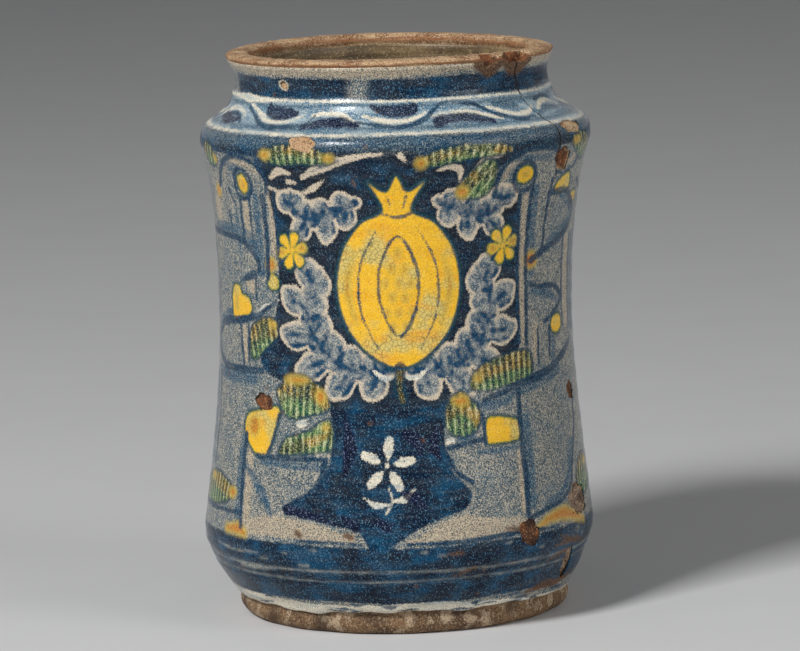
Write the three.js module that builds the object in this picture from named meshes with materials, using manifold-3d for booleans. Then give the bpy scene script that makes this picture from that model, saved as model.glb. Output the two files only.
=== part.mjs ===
// A waisted earthenware drug jar: one thrown body of clay, with a tin glaze coat outside and a lining
// inside. The lip and the foot are bare clay. Flakes go through the outside coat, and chips go on into
// the clay. Millimetres, +Z up, origin under the middle of the foot, front of the jar towards -Y.
import * as THREE from "three";
import { mergeVertices } from "three/addons/utils/BufferGeometryUtils.js";
import Module from "manifold-3d";

const wasm = await Module();
wasm.setup();

// Driving dimensions of the outside, measured over the glaze
const HEIGHT = 180;
const LIP_RADIUS = 52.3;
const LIP_THICKNESS = 2.4; // from the rim's top down to the lip's lower edge, where the coat stops
const LIP_ROUNDING = 1.2; // from the rim's top down to the lip's widest ring
const NECK_RADIUS = 50;
const NECK_DROP = 8.6; // from the rim's top down to the narrowest ring of the neck
const SHOULDER_RADIUS = 62.2; // where the wall runs into the shoulder's rounded edge
const SHOULDER_DROP = 29.8; // from the rim's top down to there
const SHOULDER_EDGE = 7.5; // height of that edge, up to where the shoulder's slope starts
const SHOULDER_TUCK = 2.2; // how far the edge comes in over that height
const WAIST_RADIUS = 56.6;
const WAIST_HEIGHT = 94;
const BELLY_RADIUS = 62.6;
const BELLY_HEIGHT = 28;
const BELLY_EDGE = 7.8; // height of the rounding under the belly, down to the chamfer above the foot
const BELLY_TUCK = 1.7; // how far that rounding comes in over that height
const FOOT_RADIUS = 53; // of the bare clay bead
const FOOT_BEAD = 3.9; // height of the middle of that bead
const RESTING_RADIUS = 50; // outer edge of the ring that the jar stands on
const RESTING_WIDTH = 7;

// Driving dimensions of the inside and the underside
const LIP_WIDTH = 7.8; // from the lip's widest ring in to the mouth
const RIM_FLAT = 3.4; // width of the level ring on top of the lip
const MOUTH_ROUNDING = 1.8; // width and height of the rounding between that ring and the mouth
const WALL = 5.6; // from the glaze outside to the glaze inside
const FLOOR_HEIGHT = 8;
const FLOOR_DIP = 0.6; // how far the floor sinks from its edge to its centre
const FLOOR_CORNER = 24; // how far the corner between wall and floor reaches in along the floor
const UNDERSIDE_RISE = 1.9; // how far the underside is hollowed at its centre
const UNDERSIDE_STEP = 1.2; // how far it rises just inside the resting ring
const UNDERSIDE_RAMP = 1.6; // width of that rise

// Driving dimensions of the glaze
const OUTSIDE_GLAZE = 0.6;
const INSIDE_GLAZE = 0.5;
const BOND_GAP = 0.02; // between a coat and the clay that it covers
const COAT_EDGE_RISE = 1.9; // from the middle of the foot's bead up to the coat's lower edge
const ROLL_RISE = 1.8; // from that edge up to the roll of glaze that ran down and gathered there
const ROLL_BULGE = 1.1; // how far the roll stands out from the foot
const LINING_DROP = 3.4; // from the rim's top down to the upper edge of the lining

// Flakes are gone from the outside coat alone. Bearings are degrees round from the front, positive
// towards +X, across is measured round the jar, and lean is how far a break faces up, in degrees.
const FLAKES = [
  { bearing: -27.2, height: HEIGHT - SHOULDER_DROP + 5.6, across: 10.6, tall: 4.8, lean: 45 },
  { bearing: -41.5, height: HEIGHT - NECK_DROP + 0.7, across: 3.4, tall: 2.4 },
  { bearing: -46.8, height: WAIST_HEIGHT - 21, across: 7.6, tall: 5.8 },
  { bearing: 40.6, height: BELLY_HEIGHT + 2.5, across: 9.2, tall: 7.8 },
  { bearing: 71.6, height: WAIST_HEIGHT - 23, across: 6.6, tall: 6.2 },
  { bearing: 65, height: HEIGHT - SHOULDER_DROP + 6.1, across: 13.5, tall: 4.6, lean: 50 },
];

// Chips go through the coat and this deep into the clay.
const CHIPS = [
  { bearing: 36.5, height: HEIGHT - 1.1, across: 7.4, tall: 7, deep: 1.5, lean: 40 },
  { bearing: 50.6, height: HEIGHT - 0.4, across: 13, tall: 9.8, deep: 3, lean: 40 },
  { bearing: 59.7, height: HEIGHT - SHOULDER_DROP - 3.9, across: 9.4, tall: 8.2, deep: 1.3 },
  { bearing: 67.5, height: BELLY_HEIGHT + 8.8, across: 13.5, tall: 11, deep: 1.5 },
  { bearing: 62, height: BELLY_HEIGHT - 10.8, across: 7, tall: 13, deep: 1.2, lean: -45 },
];
const LUMPINESS = 0.14; // how far a break's outline strays from an ellipse, as a share of its size
const PUNCH_REACH = 3; // how far a flake's punch reaches to each side of the glazed surface

const SEGMENTS = 44;
const BREAK_SIDES = 11;

const CLAY = new THREE.MeshStandardMaterial({ color: 0xa98663, roughness: 0.9, metalness: 0 });
const PAINTED_GLAZE = new THREE.MeshStandardMaterial({ color: 0x7f8fa3, roughness: 0.25, metalness: 0 });
const LINING_GLAZE = new THREE.MeshStandardMaterial({ color: 0x937c5e, roughness: 0.45, metalness: 0 });

const point = (radius, height) => new THREE.Vector2(radius, height);

// A curve's points after its first, so that one stretch of an outline can follow another.
const stretch = (curve, steps) => curve.getPoints(steps).slice(1);
const bend = (from, corner, to, steps) => stretch(new THREE.QuadraticBezierCurve(from, corner, to), steps);
const sweep = (from, leave, arrive, to, steps) =>
  stretch(new THREE.CubicBezierCurve(from, leave, arrive, to), steps);

// The waisted wall, from the belly up to the shoulder, moved in by an inset
function wall(inset, steps) {
  const belly = point(BELLY_RADIUS - inset, BELLY_HEIGHT);
  const waist = point(WAIST_RADIUS - inset, WAIST_HEIGHT);
  const shoulder = point(SHOULDER_RADIUS - inset, HEIGHT - SHOULDER_DROP);
  const lower = waist.y - belly.y;
  const upper = shoulder.y - waist.y;
  const overBelly = point(belly.x - 0.3, belly.y + 0.08 * lower);
  const underWaist = point(waist.x, waist.y - 0.36 * lower);
  const overWaist = point(waist.x, waist.y + 0.39 * upper);
  const underShoulder = point(waist.x + 1, shoulder.y - 0.25 * upper);
  return [
    belly,
    ...sweep(belly, overBelly, underWaist, waist, steps),
    ...sweep(waist, overWaist, underShoulder, shoulder, steps),
  ];
}

// The outside over the coat, from its lower edge above the foot to its upper edge under the lip
function coatOutline() {
  const edge = point(FOOT_RADIUS + 0.1, FOOT_BEAD + COAT_EDGE_RISE);
  const roll = point(FOOT_RADIUS + ROLL_BULGE, edge.y + ROLL_RISE);
  const chamferTop = point(BELLY_RADIUS - BELLY_TUCK, BELLY_HEIGHT - BELLY_EDGE);
  const chamferSwell = point((roll.x + chamferTop.x) / 2 + 0.9, (roll.y + chamferTop.y) / 2);
  const side = wall(0, 5);
  const shoulder = side.at(-1);
  const slopeEnd = point(SHOULDER_RADIUS - SHOULDER_TUCK, shoulder.y + SHOULDER_EDGE);
  const shoulderCorner = point(SHOULDER_RADIUS + 0.9, slopeEnd.y - 2.3);
  const neck = point(NECK_RADIUS, HEIGHT - NECK_DROP);
  const lipUnderside = point(LIP_RADIUS - 0.2, HEIGHT - LIP_THICKNESS);
  return [
    edge,
    roll,
    ...bend(roll, chamferSwell, chamferTop, 3),
    ...bend(chamferTop, point(BELLY_RADIUS, BELLY_HEIGHT - 3.6), side[0], 2),
    ...side.slice(1),
    ...bend(shoulder, shoulderCorner, slopeEnd, 3),
    ...sweep(slopeEnd, point(slopeEnd.x - 4.8, slopeEnd.y + 2.4), point(neck.x, neck.y - 7.5), neck, 4),
    ...bend(neck, point(neck.x, neck.y + 3.1), lipUnderside, 2),
  ];
}

// The bare lip, from just over the coat's upper edge, across the rim and down to the lining's upper edge
function lipOutline() {
  const widest = point(LIP_RADIUS, HEIGHT - LIP_ROUNDING);
  const mouth = LIP_RADIUS - LIP_WIDTH;
  const flatInner = point(mouth + MOUTH_ROUNDING, HEIGHT);
  const flatOuter = point(flatInner.x + RIM_FLAT, HEIGHT);
  const mouthTop = point(mouth, HEIGHT - MOUTH_ROUNDING);
  return [
    widest,
    ...bend(widest, point(widest.x - 0.2, HEIGHT - 0.3), flatOuter, 2),
    flatInner,
    ...bend(flatInner, point(mouth + 0.4, HEIGHT - 0.4), mouthTop, 2),
    point(mouth, HEIGHT - LINING_DROP + 2 * INSIDE_GLAZE),
  ];
}

// The inside over the lining, from its upper edge below the mouth down to the middle of the floor
function liningOutline() {
  const side = wall(WALL, 4).reverse();
  const shoulder = side[0];
  const belly = side.at(-1);
  const top = point(LIP_RADIUS - LIP_WIDTH, HEIGHT - LINING_DROP);
  const neck = point(NECK_RADIUS - WALL, HEIGHT - NECK_DROP - 3);
  const floorEdge = point(belly.x - FLOOR_CORNER, FLOOR_HEIGHT);
  return [
    top,
    neck,
    ...sweep(neck, point(neck.x + 0.2, neck.y - 8), point(shoulder.x - 0.6, shoulder.y + 7.6), shoulder, 4),
    ...side.slice(1),
    ...bend(belly, point(belly.x, FLOOR_HEIGHT), floorEdge, 4),
    point(0, FLOOR_HEIGHT - FLOOR_DIP),
  ];
}

// The bare foot, from the middle of the underside out to just under the coat's lower edge
function footOutline() {
  const restingInner = RESTING_RADIUS - RESTING_WIDTH;
  return [
    point(0, UNDERSIDE_RISE),
    point(restingInner - UNDERSIDE_RAMP, UNDERSIDE_STEP),
    point(restingInner, 0),
    point(RESTING_RADIUS, 0),
    ...bend(point(RESTING_RADIUS, 0), point(FOOT_RADIUS, 0.9), point(FOOT_RADIUS, FOOT_BEAD), 3),
  ];
}

// An outline moved to the left of its direction of travel, square to itself. A point on the axis stays
// on the axis.
function offset(outline, distance) {
  return outline.map((here, i) => {
    const before = outline[Math.max(i - 1, 0)];
    const after = outline[Math.min(i + 1, outline.length - 1)];
    const along = here.clone().sub(before).normalize();
    along.add(after.clone().sub(here).normalize()).normalize();
    const moved = point(here.x - along.y * distance, here.y + along.x * distance);
    return here.x === 0 ? point(0, moved.y) : moved;
  });
}

// A solid for cutting, from a closed geometry
function solid(geometry) {
  geometry.deleteAttribute("normal");
  geometry.deleteAttribute("uv");
  const merged = mergeVertices(geometry);
  const corners = merged.index.array;
  const triangles = [];
  for (let i = 0; i < corners.length; i += 3) {
    const [a, b, c] = corners.slice(i, i + 3);
    if (a !== b && b !== c && c !== a) triangles.push(a, b, c);
  }
  return new wasm.Manifold(
    new wasm.Mesh({
      numProp: 3,
      vertProperties: merged.attributes.position.array,
      triVerts: Uint32Array.from(triangles),
    }),
  );
}

// An outline turned round the jar's axis
function turned(outline) {
  return solid(new THREE.LatheGeometry(outline, SEGMENTS).rotateX(Math.PI / 2));
}

// A coat on the clay: up or in along its bare side, and back along the side that lies on the clay
function coat(outline, thickness) {
  const back = offset(outline, thickness).reverse();
  const closed = outline.at(-1).x === 0 ? [...back, ...outline] : [...back, ...outline, back[0]];
  return turned(closed);
}

// How far out the glazed surface lies at a height
function surfaceRadius(outline, height) {
  const i = outline.findIndex((p, k) => k > 0 && p.y >= height);
  if (i < 0) return outline.at(-1).x;
  const [low, high] = [outline[i - 1], outline[i]];
  return THREE.MathUtils.lerp(low.x, high.x, (height - low.y) / (high.y - low.y));
}

// Puts a shape made round the origin, facing +Z with +Y up, on the jar's surface, facing outwards and up
// by its lean.
function onSurface(geometry, outline, { bearing, height, lean = 0 }) {
  const turn = THREE.MathUtils.degToRad(bearing);
  const outward = new THREE.Vector3(Math.sin(turn), -Math.cos(turn), 0);
  const up = new THREE.Vector3(0, 0, 1);
  const across = up.clone().cross(outward);
  const tilt = THREE.MathUtils.degToRad(-lean);
  const rising = up.clone().applyAxisAngle(across, tilt);
  const facing = outward.clone().applyAxisAngle(across, tilt);
  const place = new THREE.Matrix4().makeBasis(across, rising, facing);
  place.setPosition(outward.clone().multiplyScalar(surfaceRadius(outline, height)).setZ(height));
  return geometry.applyMatrix4(place);
}

// A broken edge is never an even oval: how far it strays at an angle round the break
function stray(angle, seed) {
  return 1 + LUMPINESS * (Math.sin(2 * angle + seed) + 0.6 * Math.sin(5 * angle + 2 * seed));
}

// What a flake takes off: an uneven oval pushed straight through the coat
function flakePunch(outline, flake) {
  const edge = [];
  for (let i = 0; i < BREAK_SIDES; i++) {
    const angle = (2 * Math.PI * i) / BREAK_SIDES;
    const reach = stray(angle, flake.bearing) / 2;
    edge.push(point(reach * flake.across * Math.cos(angle), reach * flake.tall * Math.sin(angle)));
  }
  const through = { depth: 2 * PUNCH_REACH, bevelEnabled: false };
  const punch = new THREE.ExtrudeGeometry(new THREE.Shape(edge), through);
  return solid(onSurface(punch.translate(0, 0, -PUNCH_REACH), outline, flake));
}

// What a chip takes off: an uneven lump, half sunk in the surface
function chipLump(outline, chip) {
  const lump = new THREE.IcosahedronGeometry(1, 1);
  const place = lump.attributes.position;
  for (let i = 0; i < place.count; i++) {
    const reach = stray(3 * place.getX(i) + 4 * place.getY(i) + 2 * place.getZ(i), chip.bearing);
    place.setXYZ(
      i,
      (place.getX(i) * reach * chip.across) / 2,
      (place.getY(i) * reach * chip.tall) / 2,
      place.getZ(i) * reach * chip.deep,
    );
  }
  return solid(onSurface(lump, outline, chip));
}

function mesh(name, cut, material) {
  const { vertProperties, triVerts } = cut.getMesh();
  const geometry = new THREE.BufferGeometry();
  geometry.setAttribute("position", new THREE.BufferAttribute(vertProperties, 3));
  geometry.setIndex(new THREE.BufferAttribute(triVerts, 1));
  geometry.computeVertexNormals();
  const part = new THREE.Mesh(geometry, material);
  part.name = name;
  return part;
}

const outside = coatOutline();
const inside = liningOutline();
const flakes = FLAKES.map((flake) => flakePunch(outside, flake));
const chips = CHIPS.map((chip) => chipLump(outside, chip));

const clayOutside = offset(outside, OUTSIDE_GLAZE + BOND_GAP);
const clayInside = offset(inside, INSIDE_GLAZE + BOND_GAP);
const clay = turned([...footOutline(), ...clayOutside, ...lipOutline(), ...clayInside]);
const outerCoat = coat(outside, OUTSIDE_GLAZE);
const lining = coat(inside, INSIDE_GLAZE);

const jar = new THREE.Group();
jar.add(mesh("earthenware_body", wasm.Manifold.difference([clay, ...chips]), CLAY));
jar.add(mesh("outer_glaze", wasm.Manifold.difference([outerCoat, ...flakes, ...chips]), PAINTED_GLAZE));
jar.add(mesh("inner_glaze", lining, LINING_GLAZE));

export default jar;
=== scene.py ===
import math

import bpy
import numpy as np
from mathutils import Matrix, Vector


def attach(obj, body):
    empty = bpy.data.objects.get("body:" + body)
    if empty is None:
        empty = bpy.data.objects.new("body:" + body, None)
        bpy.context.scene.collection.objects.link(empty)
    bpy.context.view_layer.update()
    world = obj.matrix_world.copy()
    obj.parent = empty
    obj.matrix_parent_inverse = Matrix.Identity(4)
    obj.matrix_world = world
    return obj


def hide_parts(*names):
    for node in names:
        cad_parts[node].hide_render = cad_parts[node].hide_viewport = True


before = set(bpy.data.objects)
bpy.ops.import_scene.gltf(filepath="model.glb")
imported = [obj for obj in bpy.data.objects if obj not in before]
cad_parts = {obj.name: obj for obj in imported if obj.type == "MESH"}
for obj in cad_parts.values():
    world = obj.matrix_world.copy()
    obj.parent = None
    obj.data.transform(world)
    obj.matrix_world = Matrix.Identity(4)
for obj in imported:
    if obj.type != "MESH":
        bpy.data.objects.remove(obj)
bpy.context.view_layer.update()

MM = 0.001

# The outside, measured over the glaze
HEIGHT = 180.0
LIP_RADIUS = 52.3
LIP_THICKNESS = 2.4
LIP_ROUNDING = 1.2
NECK_RADIUS = 50.0
NECK_DROP = 8.6
SHOULDER_RADIUS = 62.2
SHOULDER_DROP = 29.8
SHOULDER_EDGE = 7.5
SHOULDER_TUCK = 2.2
WAIST_RADIUS = 56.6
WAIST_HEIGHT = 94.0
BELLY_RADIUS = 62.6
BELLY_HEIGHT = 28.0
BELLY_EDGE = 7.8
BELLY_TUCK = 1.7
FOOT_RADIUS = 53.0
FOOT_BEAD = 3.9
RESTING_RADIUS = 50.0
RESTING_WIDTH = 7.0

# The inside and the underside
LIP_WIDTH = 7.8
RIM_FLAT = 3.4
MOUTH_ROUNDING = 1.8
WALL = 5.6
FLOOR_HEIGHT = 8.0
FLOOR_DIP = 0.6
FLOOR_CORNER = 24.0
UNDERSIDE_RISE = 1.9
UNDERSIDE_STEP = 1.2
UNDERSIDE_RAMP = 1.6

# The glaze
OUTSIDE_GLAZE = 0.6
INSIDE_GLAZE = 0.5
BOND_GAP = 0.02
COAT_EDGE_RISE = 1.9
ROLL_RISE = 1.8
ROLL_BULGE = 1.1
LINING_DROP = 3.4

# The glaze's uneven lower edge: how far it rises, and waves by size, turns round the jar and phase
EDGE_LIFT = 1.2
EDGE_WAVES = [(0.6, 3, 1.0), (0.4, 7, 2.5), (0.3, 13, 0.0), (0.25, 29, 1.0)]
EDGE_REACH = 14.0

# The lumps of glaze gathered in the roll: their height, and where along the coat they are
ROLL_LUMPS = 0.35
ROLL_MIDDLE = 2.6
ROLL_WIDTH = 2.2

# How far the throwing is out of round, the waves that it left up the wall, and the dip of the rim
OVAL = 0.16
THREE_SIDED = 0.12
FINE_WAVES = 0.05
BROAD_WAVES = 0.04
RIM_DIP = 0.3

# Throwing rings: how far each stands out, its height, and its width
RINGS = [
    (-0.22, 18.6, 0.7),
    (-0.2, 21.6, 0.6),
    (0.16, 24.5, 1.2),
    (-0.18, 158.6, 0.8),
    (0.2, 160.6, 0.9),
    (-0.15, 163.4, 1.0),
    (0.28, 167.3, 0.7),
    (-0.12, 169.2, 0.9),
]

# How far the wall stands to the right of the foot's axis, by height
SWAY = [
    (0, 0.5), (8, 0.0), (18, -0.9), (30, -0.8), (46, -0.5), (66, -0.2), (100, 0.0), (118, 0.3),
    (130, 0.7), (142, 1.05), (150, 1.3), (156, 1.35), (162, 0.9), (168, 0.45), (180, 0.0),
]

# Breaks: bearing in degrees round from the front, height, size round the jar, size up the jar, depth
# into the clay, and how far the break faces upwards, in degrees. Flakes are gone from the glaze alone.
FLAKES = [
    (-27.2, 155.8, 10.6, 4.8, 0.0, 45),
    (-41.5, 172.1, 3.4, 2.4, 0.0, 0),
    (-46.8, 73.0, 7.6, 5.8, 0.0, 0),
    (40.6, 30.5, 9.2, 7.8, 0.0, 0),
    (71.6, 71.0, 6.6, 6.2, 0.0, 0),
    (65.0, 156.3, 13.5, 4.6, 0.0, 50),
]
CHIPS = [
    (36.5, 178.9, 7.4, 7.0, 1.5, 40),
    (50.6, 179.6, 13.0, 9.8, 3.0, 40),
    (59.7, 146.3, 9.4, 8.2, 1.3, 0),
    (67.5, 36.8, 13.5, 11.0, 1.5, 0),
    (62.0, 17.2, 7.0, 13.0, 1.2, -45),
]
RAGGEDNESS = 0.13
SHALLOWEST_BREAK = 3.0
BREAK_REACH = 12

# By place in those lists: flakes with a pale edge, flakes as dark as a chip, and chips scraped light
PALE_EDGED_FLAKES = (1,)
DARK_FLAKES = (2, 3, 4)
SCRAPED_CHIPS = (3, 4)

# Mesh densities
COLUMNS = 560
CROWDING = 0.25
COAT_ROW = 0.6
BODY_ROW = 1.5
BODY_ROW_SPLITS = 4
NEAR_BREAK = 2.5
BACK_THINNING = 5
BODY_THINNING = 4
LINING_COLUMNS = 240
LINING_ROW = 1.3

# Round the jar, painting is measured in millimetres at this radius.
PAINT_RADIUS = 60.0
CIRCUIT = 2 * math.pi * PAINT_RADIUS
FAR = -9.0
MARGIN = 4.0
RANDOM_SEED = 17

# The photograph's camera
CAMERA_PLACE = (0.0, -1.53, 0.3132)
CAMERA_PITCH = 8.3
CAMERA_ROLL = 1.5
FOCAL_PIXELS = 4819.0
SENSOR_WIDTH = 36.0
IMAGE_WIDTH, IMAGE_HEIGHT = 800.0, 651.0
AXIS_PIXEL = (396.5, 326.2)

# The stage: lamps have a place, a size and a power
FLOOR_REACH = 6.0
LAMP_AIM = (0.0, 0.0, 0.1)
KEY_LAMP = ((-1.1, -1.3, 1.5), 0.5, 44)
FILL_LAMP = ((1.5, -1.0, 0.7), 0.8, 11)
WORLD_STRENGTH = 0.11


# Outlines

def ramp(values, start, end):
    """A share that goes from 0 at the start to 1 at the end, and stays level beyond both"""
    return np.clip((values - start) / (end - start), 0, 1)


def bezier(points, count):
    """Points along a curve with three or four control points, without its first"""
    t = np.linspace(0, 1, count + 1)[1:, None]
    points = [np.array(point, float) for point in points]
    while len(points) > 1:
        points = [(1 - t) * a + t * b for a, b in zip(points, points[1:])]
    return points[0]


def wall(inset):
    """The waisted wall, from the belly up to the shoulder, moved in by an inset"""
    belly = (BELLY_RADIUS - inset, BELLY_HEIGHT)
    waist = (WAIST_RADIUS - inset, WAIST_HEIGHT)
    shoulder = (SHOULDER_RADIUS - inset, HEIGHT - SHOULDER_DROP)
    lower = waist[1] - belly[1]
    upper = shoulder[1] - waist[1]
    over_belly = (belly[0] - 0.3, belly[1] + 0.08 * lower)
    under_waist = (waist[0], waist[1] - 0.36 * lower)
    over_waist = (waist[0], waist[1] + 0.39 * upper)
    under_shoulder = (waist[0] + 1, shoulder[1] - 0.25 * upper)
    below = bezier([belly, over_belly, under_waist, waist], 40)
    above = bezier([waist, over_waist, under_shoulder, shoulder], 40)
    return np.vstack([[belly], below, above])


def coat_points():
    """The outside over the glaze, from its lower edge above the foot to its upper edge under the lip"""
    edge = (FOOT_RADIUS + 0.1, FOOT_BEAD + COAT_EDGE_RISE)
    roll = (FOOT_RADIUS + ROLL_BULGE, edge[1] + ROLL_RISE)
    chamfer_top = (BELLY_RADIUS - BELLY_TUCK, BELLY_HEIGHT - BELLY_EDGE)
    swell = ((roll[0] + chamfer_top[0]) / 2 + 0.9, (roll[1] + chamfer_top[1]) / 2)
    side = wall(0)
    shoulder = side[-1]
    slope_end = (SHOULDER_RADIUS - SHOULDER_TUCK, shoulder[1] + SHOULDER_EDGE)
    corner = (SHOULDER_RADIUS + 0.9, slope_end[1] - 2.3)
    neck = (NECK_RADIUS, HEIGHT - NECK_DROP)
    over_slope = (slope_end[0] - 4.8, slope_end[1] + 2.4)
    lip_underside = (LIP_RADIUS - 0.2, HEIGHT - LIP_THICKNESS)
    return np.vstack([
        [edge, roll],
        bezier([roll, swell, chamfer_top], 20),
        bezier([chamfer_top, (BELLY_RADIUS, BELLY_HEIGHT - 3.6), side[0]], 12),
        side[1:],
        bezier([shoulder, corner, slope_end], 14),
        bezier([slope_end, over_slope, (neck[0], neck[1] - 7.5), neck], 24),
        bezier([neck, (neck[0], neck[1] + 3.1), lip_underside], 12),
    ])


def lip_points():
    """The bare lip, over the rim and down to the lining's upper edge"""
    widest = (LIP_RADIUS, HEIGHT - LIP_ROUNDING)
    mouth = LIP_RADIUS - LIP_WIDTH
    flat_inner = (mouth + MOUTH_ROUNDING, HEIGHT)
    flat_outer = (flat_inner[0] + RIM_FLAT, HEIGHT)
    mouth_top = (mouth, HEIGHT - MOUTH_ROUNDING)
    return np.vstack([
        [widest],
        bezier([widest, (widest[0] - 0.2, HEIGHT - 0.3), flat_outer], 8),
        [flat_inner],
        bezier([flat_inner, (mouth + 0.4, HEIGHT - 0.4), mouth_top], 8),
        [(mouth, HEIGHT - LINING_DROP + 2 * INSIDE_GLAZE)],
    ])


def lining_points():
    """The inside over the lining, from its upper edge down to the middle of the floor"""
    side = wall(WALL)[::-1]
    shoulder, belly = side[0], side[-1]
    neck = (NECK_RADIUS - WALL, HEIGHT - NECK_DROP - 3)
    floor_edge = (belly[0] - FLOOR_CORNER, FLOOR_HEIGHT)
    over_shoulder = (shoulder[0] - 0.6, shoulder[1] + 7.6)
    return np.vstack([
        [(LIP_RADIUS - LIP_WIDTH, HEIGHT - LINING_DROP), neck],
        bezier([neck, (neck[0] + 0.2, neck[1] - 8), over_shoulder, shoulder], 24),
        side[1:],
        bezier([belly, (belly[0], FLOOR_HEIGHT), floor_edge], 24),
        [(0, FLOOR_HEIGHT - FLOOR_DIP)],
    ])


def foot_points():
    """The bare foot, from the middle of the underside out to its bead"""
    inner = RESTING_RADIUS - RESTING_WIDTH
    return np.vstack([
        [(0, UNDERSIDE_RISE), (inner - UNDERSIDE_RAMP, UNDERSIDE_STEP), (inner, 0), (RESTING_RADIUS, 0)],
        bezier([(RESTING_RADIUS, 0), (FOOT_RADIUS, 0.9), (FOOT_RADIUS, FOOT_BEAD)], 8),
    ])


class Outline:
    """A profile that gives radius, height and the way out of the clay at any distance along it"""

    STEP = 0.1

    def __init__(self, points, softness):
        gaps = np.hypot(*np.diff(points, axis=0).T)
        marks = np.concatenate([[0], np.cumsum(gaps)])
        self.length = marks[-1]
        self.marks = np.linspace(0, self.length, int(self.length / self.STEP) + 1)
        radius = np.interp(self.marks, marks, points[:, 0])
        height = np.interp(self.marks, marks, points[:, 1])
        self.radius = self.soften(radius, softness)
        self.height = self.soften(height, softness)
        along = np.stack([np.gradient(self.radius), np.gradient(self.height)])
        along /= np.hypot(*along)
        self.out_radius, self.out_height = along[1], -along[0]

    def soften(self, values, softness):
        """Rounds corners off, and keeps both ends where they are"""
        reach = int(4 * softness / self.STEP)
        if reach < 1:
            return values
        before = 2 * values[0] - values[reach:0:-1]
        after = 2 * values[-1] - values[-2:-reach - 2:-1]
        weights = np.exp(-0.5 * (np.arange(-reach, reach + 1) * self.STEP / softness) ** 2)
        return np.convolve(np.concatenate([before, values, after]), weights / weights.sum(), "valid")

    def at(self, distance, out=0.0):
        """Radius and height at a distance along, moved out of the clay"""
        radius = np.interp(distance, self.marks, self.radius)
        height = np.interp(distance, self.marks, self.height)
        out_radius = np.interp(distance, self.marks, self.out_radius)
        out_height = np.interp(distance, self.marks, self.out_height)
        return radius + out * out_radius, height + out * out_height

    def moved(self, out):
        """All the profile's points, moved out of the clay"""
        return np.stack(self.at(self.marks, out), -1)


COAT = Outline(coat_points(), 0.45)
LINING = Outline(lining_points(), 0.8)
BODY = Outline(
    np.vstack([
        foot_points(),
        COAT.moved(-OUTSIDE_GLAZE - BOND_GAP),
        lip_points(),
        LINING.moved(-INSIDE_GLAZE - BOND_GAP),
    ]),
    0.12,
)


# The jar isn't quite round, and it is broken in places

def place(radius, height, bearing):
    """Points in metres for radius, height and bearing on the jar as it would be if perfectly round"""
    out = OVAL * np.cos(2 * bearing + 0.7) + THREE_SIDED * np.cos(3 * bearing + 2.1 + height / 50)
    out = out + FINE_WAVES * np.sin(0.93 * height + 1.2 * np.sin(bearing))
    out = out + BROAD_WAVES * np.sin(0.41 * height + 2 * bearing)
    out = out + np.interp(height, *np.transpose(SWAY)) * np.sin(bearing)
    for size, level, spread in RINGS:
        drift = level + 0.25 * np.sin(bearing + level)
        out = out + size * np.exp(-(((height - drift) / spread) ** 2))
    reach = radius + out * ramp(radius, 0, 40)
    up = RIM_DIP * np.sin(2 * bearing + 1) * ramp(height, 120, 180)
    return np.stack([reach * np.sin(bearing), -reach * np.cos(bearing), height + up], -1) * MM


def cylinder_points(radius, height, bearing):
    """Points in millimetres on the jar as it would be if perfectly round"""
    return np.stack([radius * np.sin(bearing), -radius * np.cos(bearing), height + 0 * bearing], -1)


def ripple(x, y, size, seed, waves=7):
    """A smooth random surface between about -1 and 1, with bumps of about the size given"""
    random = np.random.default_rng(seed)
    total = np.zeros(np.broadcast(x, y).shape)
    for _ in range(waves):
        turn, phase = random.uniform(0, 2 * math.pi, 2)
        pitch = 2 * math.pi / (size * random.uniform(1.2, 2.8))
        total += np.sin(pitch * (x * math.cos(turn) + y * math.sin(turn)) + phase)
    return total / math.sqrt(waves)


class Break:
    """A flake or a chip: an uneven lump of the jar that is gone"""

    def __init__(self, bearing, height, across, tall, deep, tilt):
        self.seed = int(10 * (bearing + 90) + height)
        turn, lean = math.radians(bearing), math.radians(tilt)
        rising = COAT.height.searchsorted(height)
        radius = COAT.radius[min(rising, len(COAT.radius) - 1)]
        radial = np.array([math.sin(turn), -math.cos(turn), 0])
        up = np.array([0, 0, 1.0])
        self.across_way = np.cross(up, radial)
        self.out_way = math.cos(lean) * radial + math.sin(lean) * up
        self.up_way = math.cos(lean) * up - math.sin(lean) * radial
        self.centre = radial * radius + up * height
        self.half_across, self.half_tall, self.deep = across / 2, tall / 2, deep

    def local(self, points):
        """Places across and up the break, as shares of its half sizes, and how far out of it"""
        away = points - self.centre
        a = away @ self.across_way / self.half_across
        b = away @ self.up_way / self.half_tall
        return a, b, away @ self.out_way

    def reach(self, a, b):
        """How far the ragged outline lies from the middle, as a share of an even oval's"""
        turn = np.arctan2(b, a)
        waves = np.sin(2 * turn + self.seed) + 0.6 * np.sin(5 * turn + 2 * self.seed)
        finer = 0.35 * np.sin(9 * turn + 3 * self.seed) + 0.25 * np.sin(14 * turn + self.seed)
        return 1 + RAGGEDNESS * (waves + finer)

    def inside(self, points):
        """How far points lie inside the break's outline, in millimetres"""
        a, b, out = self.local(points)
        depth = max(self.deep, SHALLOWEST_BREAK)
        span = np.sqrt(a**2 + b**2 + (out / depth) ** 2 * (self.deep > 0))
        gap = (self.reach(a, b) - span) * min(self.half_across, self.half_tall)
        return np.where(np.abs(out) < BREAK_REACH, gap, FAR)

    def dig(self, points):
        """Moves what lies inside the break down to its uneven floor"""
        a, b, out = self.local(points)
        lumps = 1 + 0.3 * ripple(a * self.half_across, b * self.half_tall, 2.2, self.seed)
        floor = -self.deep * lumps * np.sqrt(np.clip(self.reach(a, b) ** 2 - a**2 - b**2, 0, None))
        above = (np.abs(out) < BREAK_REACH) & (out > floor) & (floor < 0)
        return points + np.where(above, floor - out, 0)[..., None] * self.out_way


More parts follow.
